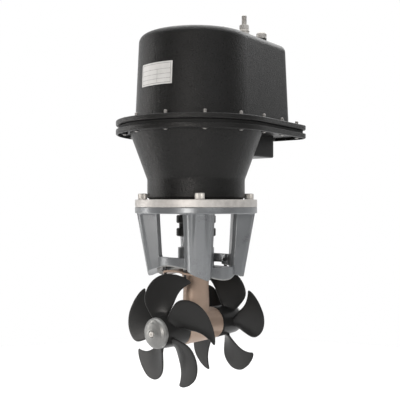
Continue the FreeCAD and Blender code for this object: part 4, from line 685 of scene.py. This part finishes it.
TP = [(42.0, 92.0, 0, 10.0), (-42.0, 130.0, 0, 35.0)]
tip = rod("tip", 4.9, 1.5, 567.3, 585.8, lead=1.0, segs=48, per=8)
stem = turned_mm("stem", [(0.0, 510.9), (5.4, 510.9), (5.4, 567.4), (0.0, 567.4)], 40)
fit(copies(join([tip, stem, nut("n", 9.8, 0.5, 505.0, 511.0)], "terminal"), TP, "terminal_bolt_set"), "terminal_bolts")
outer_nut = nut("n", 9.8, 5.4, 559.0, 567.4)
inner_nut = nut("m", 9.8, 5.4, 518.0, 526.0)
fit(copies(join([outer_nut, inner_nut], "nuts"), [(42.0, 92.0, 0, 0.0), (-42.0, 130.0, 0, 0.0)], "terminal_nut_set"), "terminal_nuts")
rings = [washer("w", r, 5.6, z0, z1, 0.3) for r, z0, z1 in ((10.0, 550.0, 552.0), (8.8, 552.0, 554.6), (10.0, 554.6, 556.6), (8.8, 556.6, 559.0))]
fit(copies(join(rings, "rings"), TP, "terminal_washer_set"), "terminal_washers")
post = turned_mm("post", [(5.4, 531.2), (8.8, 531.2), (8.8, 534.0), (12.0, 534.0), (12.0, 536.0), (11.5, 536.5), (11.5, 538.0), (12.0, 538.5), (12.0, 548.6), (11.0, 549.9), (5.4, 549.9)], 64)
disc = turned_mm("disc", [(5.4, 526.0), (11.6, 526.0), (12.0, 526.4), (12.0, 530.6), (11.6, 531.0), (5.4, 531.0)], 64)
fit(copies(join([post, disc], "posts"), TP, "terminal_insulator_set"), "terminal_insulators")


def ribbed(name, prof, ribs, deep, segs_per=6):
    """Turned piece whose side carries upright ribs; each profile corner says how far the ribs reach."""
    segs = ribs * segs_per
    verts, faces = [], []
    for rr, z, kn in prof:
        for k in range(segs):
            a = TAU * k / segs
            q = rr - kn * deep * (0.5 + 0.5 * math.cos(ribs * a)) if rr > 0 else 0.0
            verts.append((q * math.cos(a) * MM, q * math.sin(a) * MM, z * MM))
    for i in range(len(prof) - 1):
        for k in range(segs):
            k2 = (k + 1) % segs
            faces.append((i * segs + k, i * segs + k2, (i + 1) * segs + k2, (i + 1) * segs + k))
    return make(name, verts, faces, None, 35.0)


GB, GT = 551.0, 563.2
GP = [(42.0, 148.0, 0, 4.0)]
fit(copies(ribbed("gb", [(0.0, 520.0, 0), (5.5, 520.0, 0), (5.9, 520.4, 0), (5.9, 534.05, 0), (10.0, 534.05, 0), (10.3, 534.4, 0), (10.3, 536.0, 0), (10.2, 536.6, 1), (10.2, GB - 1.4, 1), (10.0, GB - 0.8, 0), (9.6, GB - 0.05, 0), (0.0, GB - 0.05, 0)], 26, 0.5), GP, "gland_base"), "gland_body")
fit(copies(ribbed("gc", [(0.0, GB, 0), (9.7, GB, 0), (10.3, GB + 0.5, 0), (10.3, GB + 2.0, 0), (10.25, GB + 2.4, 1), (10.25, GT - 3.4, 1), (10.25, GT - 2.9, 0), (8.9, GT - 0.5, 0), (8.2, GT, 0), (4.2, GT, 0), (3.8, GT - 0.6, 0), (0.0, GT - 0.6, 0)], 34, 0.35), GP, "gland_top"), "gland_cap")

LS = [(sx * 24.0, sy * 57.0, 0, 23.0 * sx * sy) for sx in (-1, 1) for sy in (-1, 1)]
BT = 118.0
lh = cap_head("lh", 5.0, BT, BT + 6.0, 2.5, 3.0, 28)
lt = rod("lt", 2.6, 0.8, 92.0, BT - 12.0, depth=0.35, lead=0.6, segs=20, per=5)
lt.data.transform(Matrix.Translation((0, 0, (92.0 + BT - 12.0) * MM)) @ Matrix.Rotation(math.pi, 4, "X"))
ls = turned_mm("ls", [(0.0, BT - 12.1), (2.6, BT - 12.1), (3.0, BT - 11.6), (3.0, BT + 0.1), (0.0, BT + 0.1)], 28)
fit(copies(join([lh, lt, ls], "leg_screw"), LS, "leg_screw_set"), "leg_screws")

# ---------------------------------------------------------------------- stage
lo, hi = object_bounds()
floor_z = lo[2] - 0.28
cam_dir = Vector((0.6561, -0.7547, 0.0)).normalized()
side = Vector((0.7547, 0.6561, 0.0)).normalized()
stage_mat = Net("floor_paint")
stage_mat.set(rough=0.9, spec=0.1)
stage_mat.out(stage_mat.ramp(stage_mat.noise(2.0, 2.0), [(0.3, (0.94, 0.94, 0.94)), (0.7, (0.96, 0.96, 0.96))]))
verts = [(0.0, 0.0, floor_z)] + [(1.8 * math.cos(TAU * k / 96), 1.8 * math.sin(TAU * k / 96), floor_z) for k in range(96)]
me = bpy.data.meshes.new("floor")
me.from_pydata(verts, [], [(0, k + 1, (k + 1) % 96 + 1) for k in range(96)])
me.update()
floor = bpy.data.objects.new("floor", me)
bpy.context.scene.collection.objects.link(floor)
dress(floor, stage_mat.m)

# ---------------------------------------------------------------------- light
# A white studio: bright behind and to the sides, darker on the camera's side, so that
# dark surfaces keep a thin light edge and stay dark in the middle.
world = bpy.data.worlds.new("studio")
bpy.context.scene.world = world
world.use_nodes = True
wt = world.node_tree
bg = wt.nodes["Background"]
coord = wt.nodes.new("ShaderNodeTexCoord")
dot = wt.nodes.new("ShaderNodeVectorMath")
dot.operation = "DOT_PRODUCT"
dot.inputs[1].default_value = tuple(cam_dir)
wt.links.new(coord.outputs["Generated"], dot.inputs[0])
grad = wt.nodes.new("ShaderNodeMapRange")
grad.interpolation_type = "SMOOTHSTEP"
grad.inputs["From Min"].default_value = -0.60
grad.inputs["From Max"].default_value = 0.25
grad.inputs["To Min"].default_value = 0.95
grad.inputs["To Max"].default_value = 0.20
wt.links.new(dot.outputs["Value"], grad.inputs["Value"])
path = wt.nodes.new("ShaderNodeLightPath")
pick = wt.nodes.new("ShaderNodeMix")
pick.data_type = "FLOAT"
pick.inputs[3].default_value = 1.0
wt.links.new(path.outputs["Is Camera Ray"], pick.inputs[0])
wt.links.new(grad.outputs["Result"], pick.inputs[2])
wt.links.new(pick.outputs[0], bg.inputs["Strength"])
bg.inputs["Color"].default_value = (1, 1, 1, 1)


def area(name, place, aim, size, watts, color=(1, 1, 1), size_y=None):
    d = bpy.data.lights.new(name, "AREA")
    d.shape = "RECTANGLE"
    d.size = size
    d.size_y = size_y or size
    d.energy = watts
    d.color = color
    o = bpy.data.objects.new(name, d)
    o.location = place
    o.rotation_euler = (Vector(aim) - Vector(place)).to_track_quat("-Z", "Y").to_euler()
    bpy.context.scene.collection.objects.link(o)
    return o


centre = Vector((0, 0, 0.24))
area("overhead", Vector((0, 0, 2.6)) - cam_dir * 0.3, Vector((0, 0, 0)) - cam_dir * 0.3, 3.2, 95)
area("key", centre + cam_dir * 1.55 - side * 0.44 + Vector((0, 0, 0.10)), centre + Vector((0, 0, 0.02)), 0.28, 13.0, color=(1.0, 0.96, 0.92), size_y=0.5)
area("fill", centre + cam_dir * 1.5 + side * 0.9 + Vector((0, 0, 0.5)), centre, 1.1, 7.0)
area("strip_left", centre - side * 1.3 - cam_dir * 0.30 + Vector((0, 0, 0.05)), centre, 0.20, 7.0, color=(1.0, 0.97, 0.94), size_y=1.3)
area("strip_right", centre + side * 1.3 + cam_dir * 0.20 + Vector((0, 0, -0.05)), centre - Vector((0, 0, 0.1)), 0.14, 0.8, color=(1.0, 0.97, 0.94), size_y=1.1)
area("top_right", centre - cam_dir * 0.9 + side * 0.9 + Vector((0, 0, 1.2)), centre + Vector((0, 0, 0.25)), 0.9, 8)

# --------------------------------------------------------------------- camera
cam = bpy.data.cameras.new("camera")
cam.lens = 62.64
cam.sensor_width = 36.0
cam.shift_y = 2.33 / 400
cam_ob = bpy.data.objects.new("camera", cam)
bpy.context.scene.collection.objects.link(cam_ob)
cam_ob.location = cam_dir * 1.292 + side * 0.00728 + Vector((0, 0, 0.22827))
cam_ob.rotation_euler = (-cam_dir).to_track_quat("-Z", "Y").to_euler()
bpy.context.scene.camera = cam_ob
bpy.context.scene.view_settings.view_transform = "Standard"
bpy.context.scene.view_settings.look = "None"
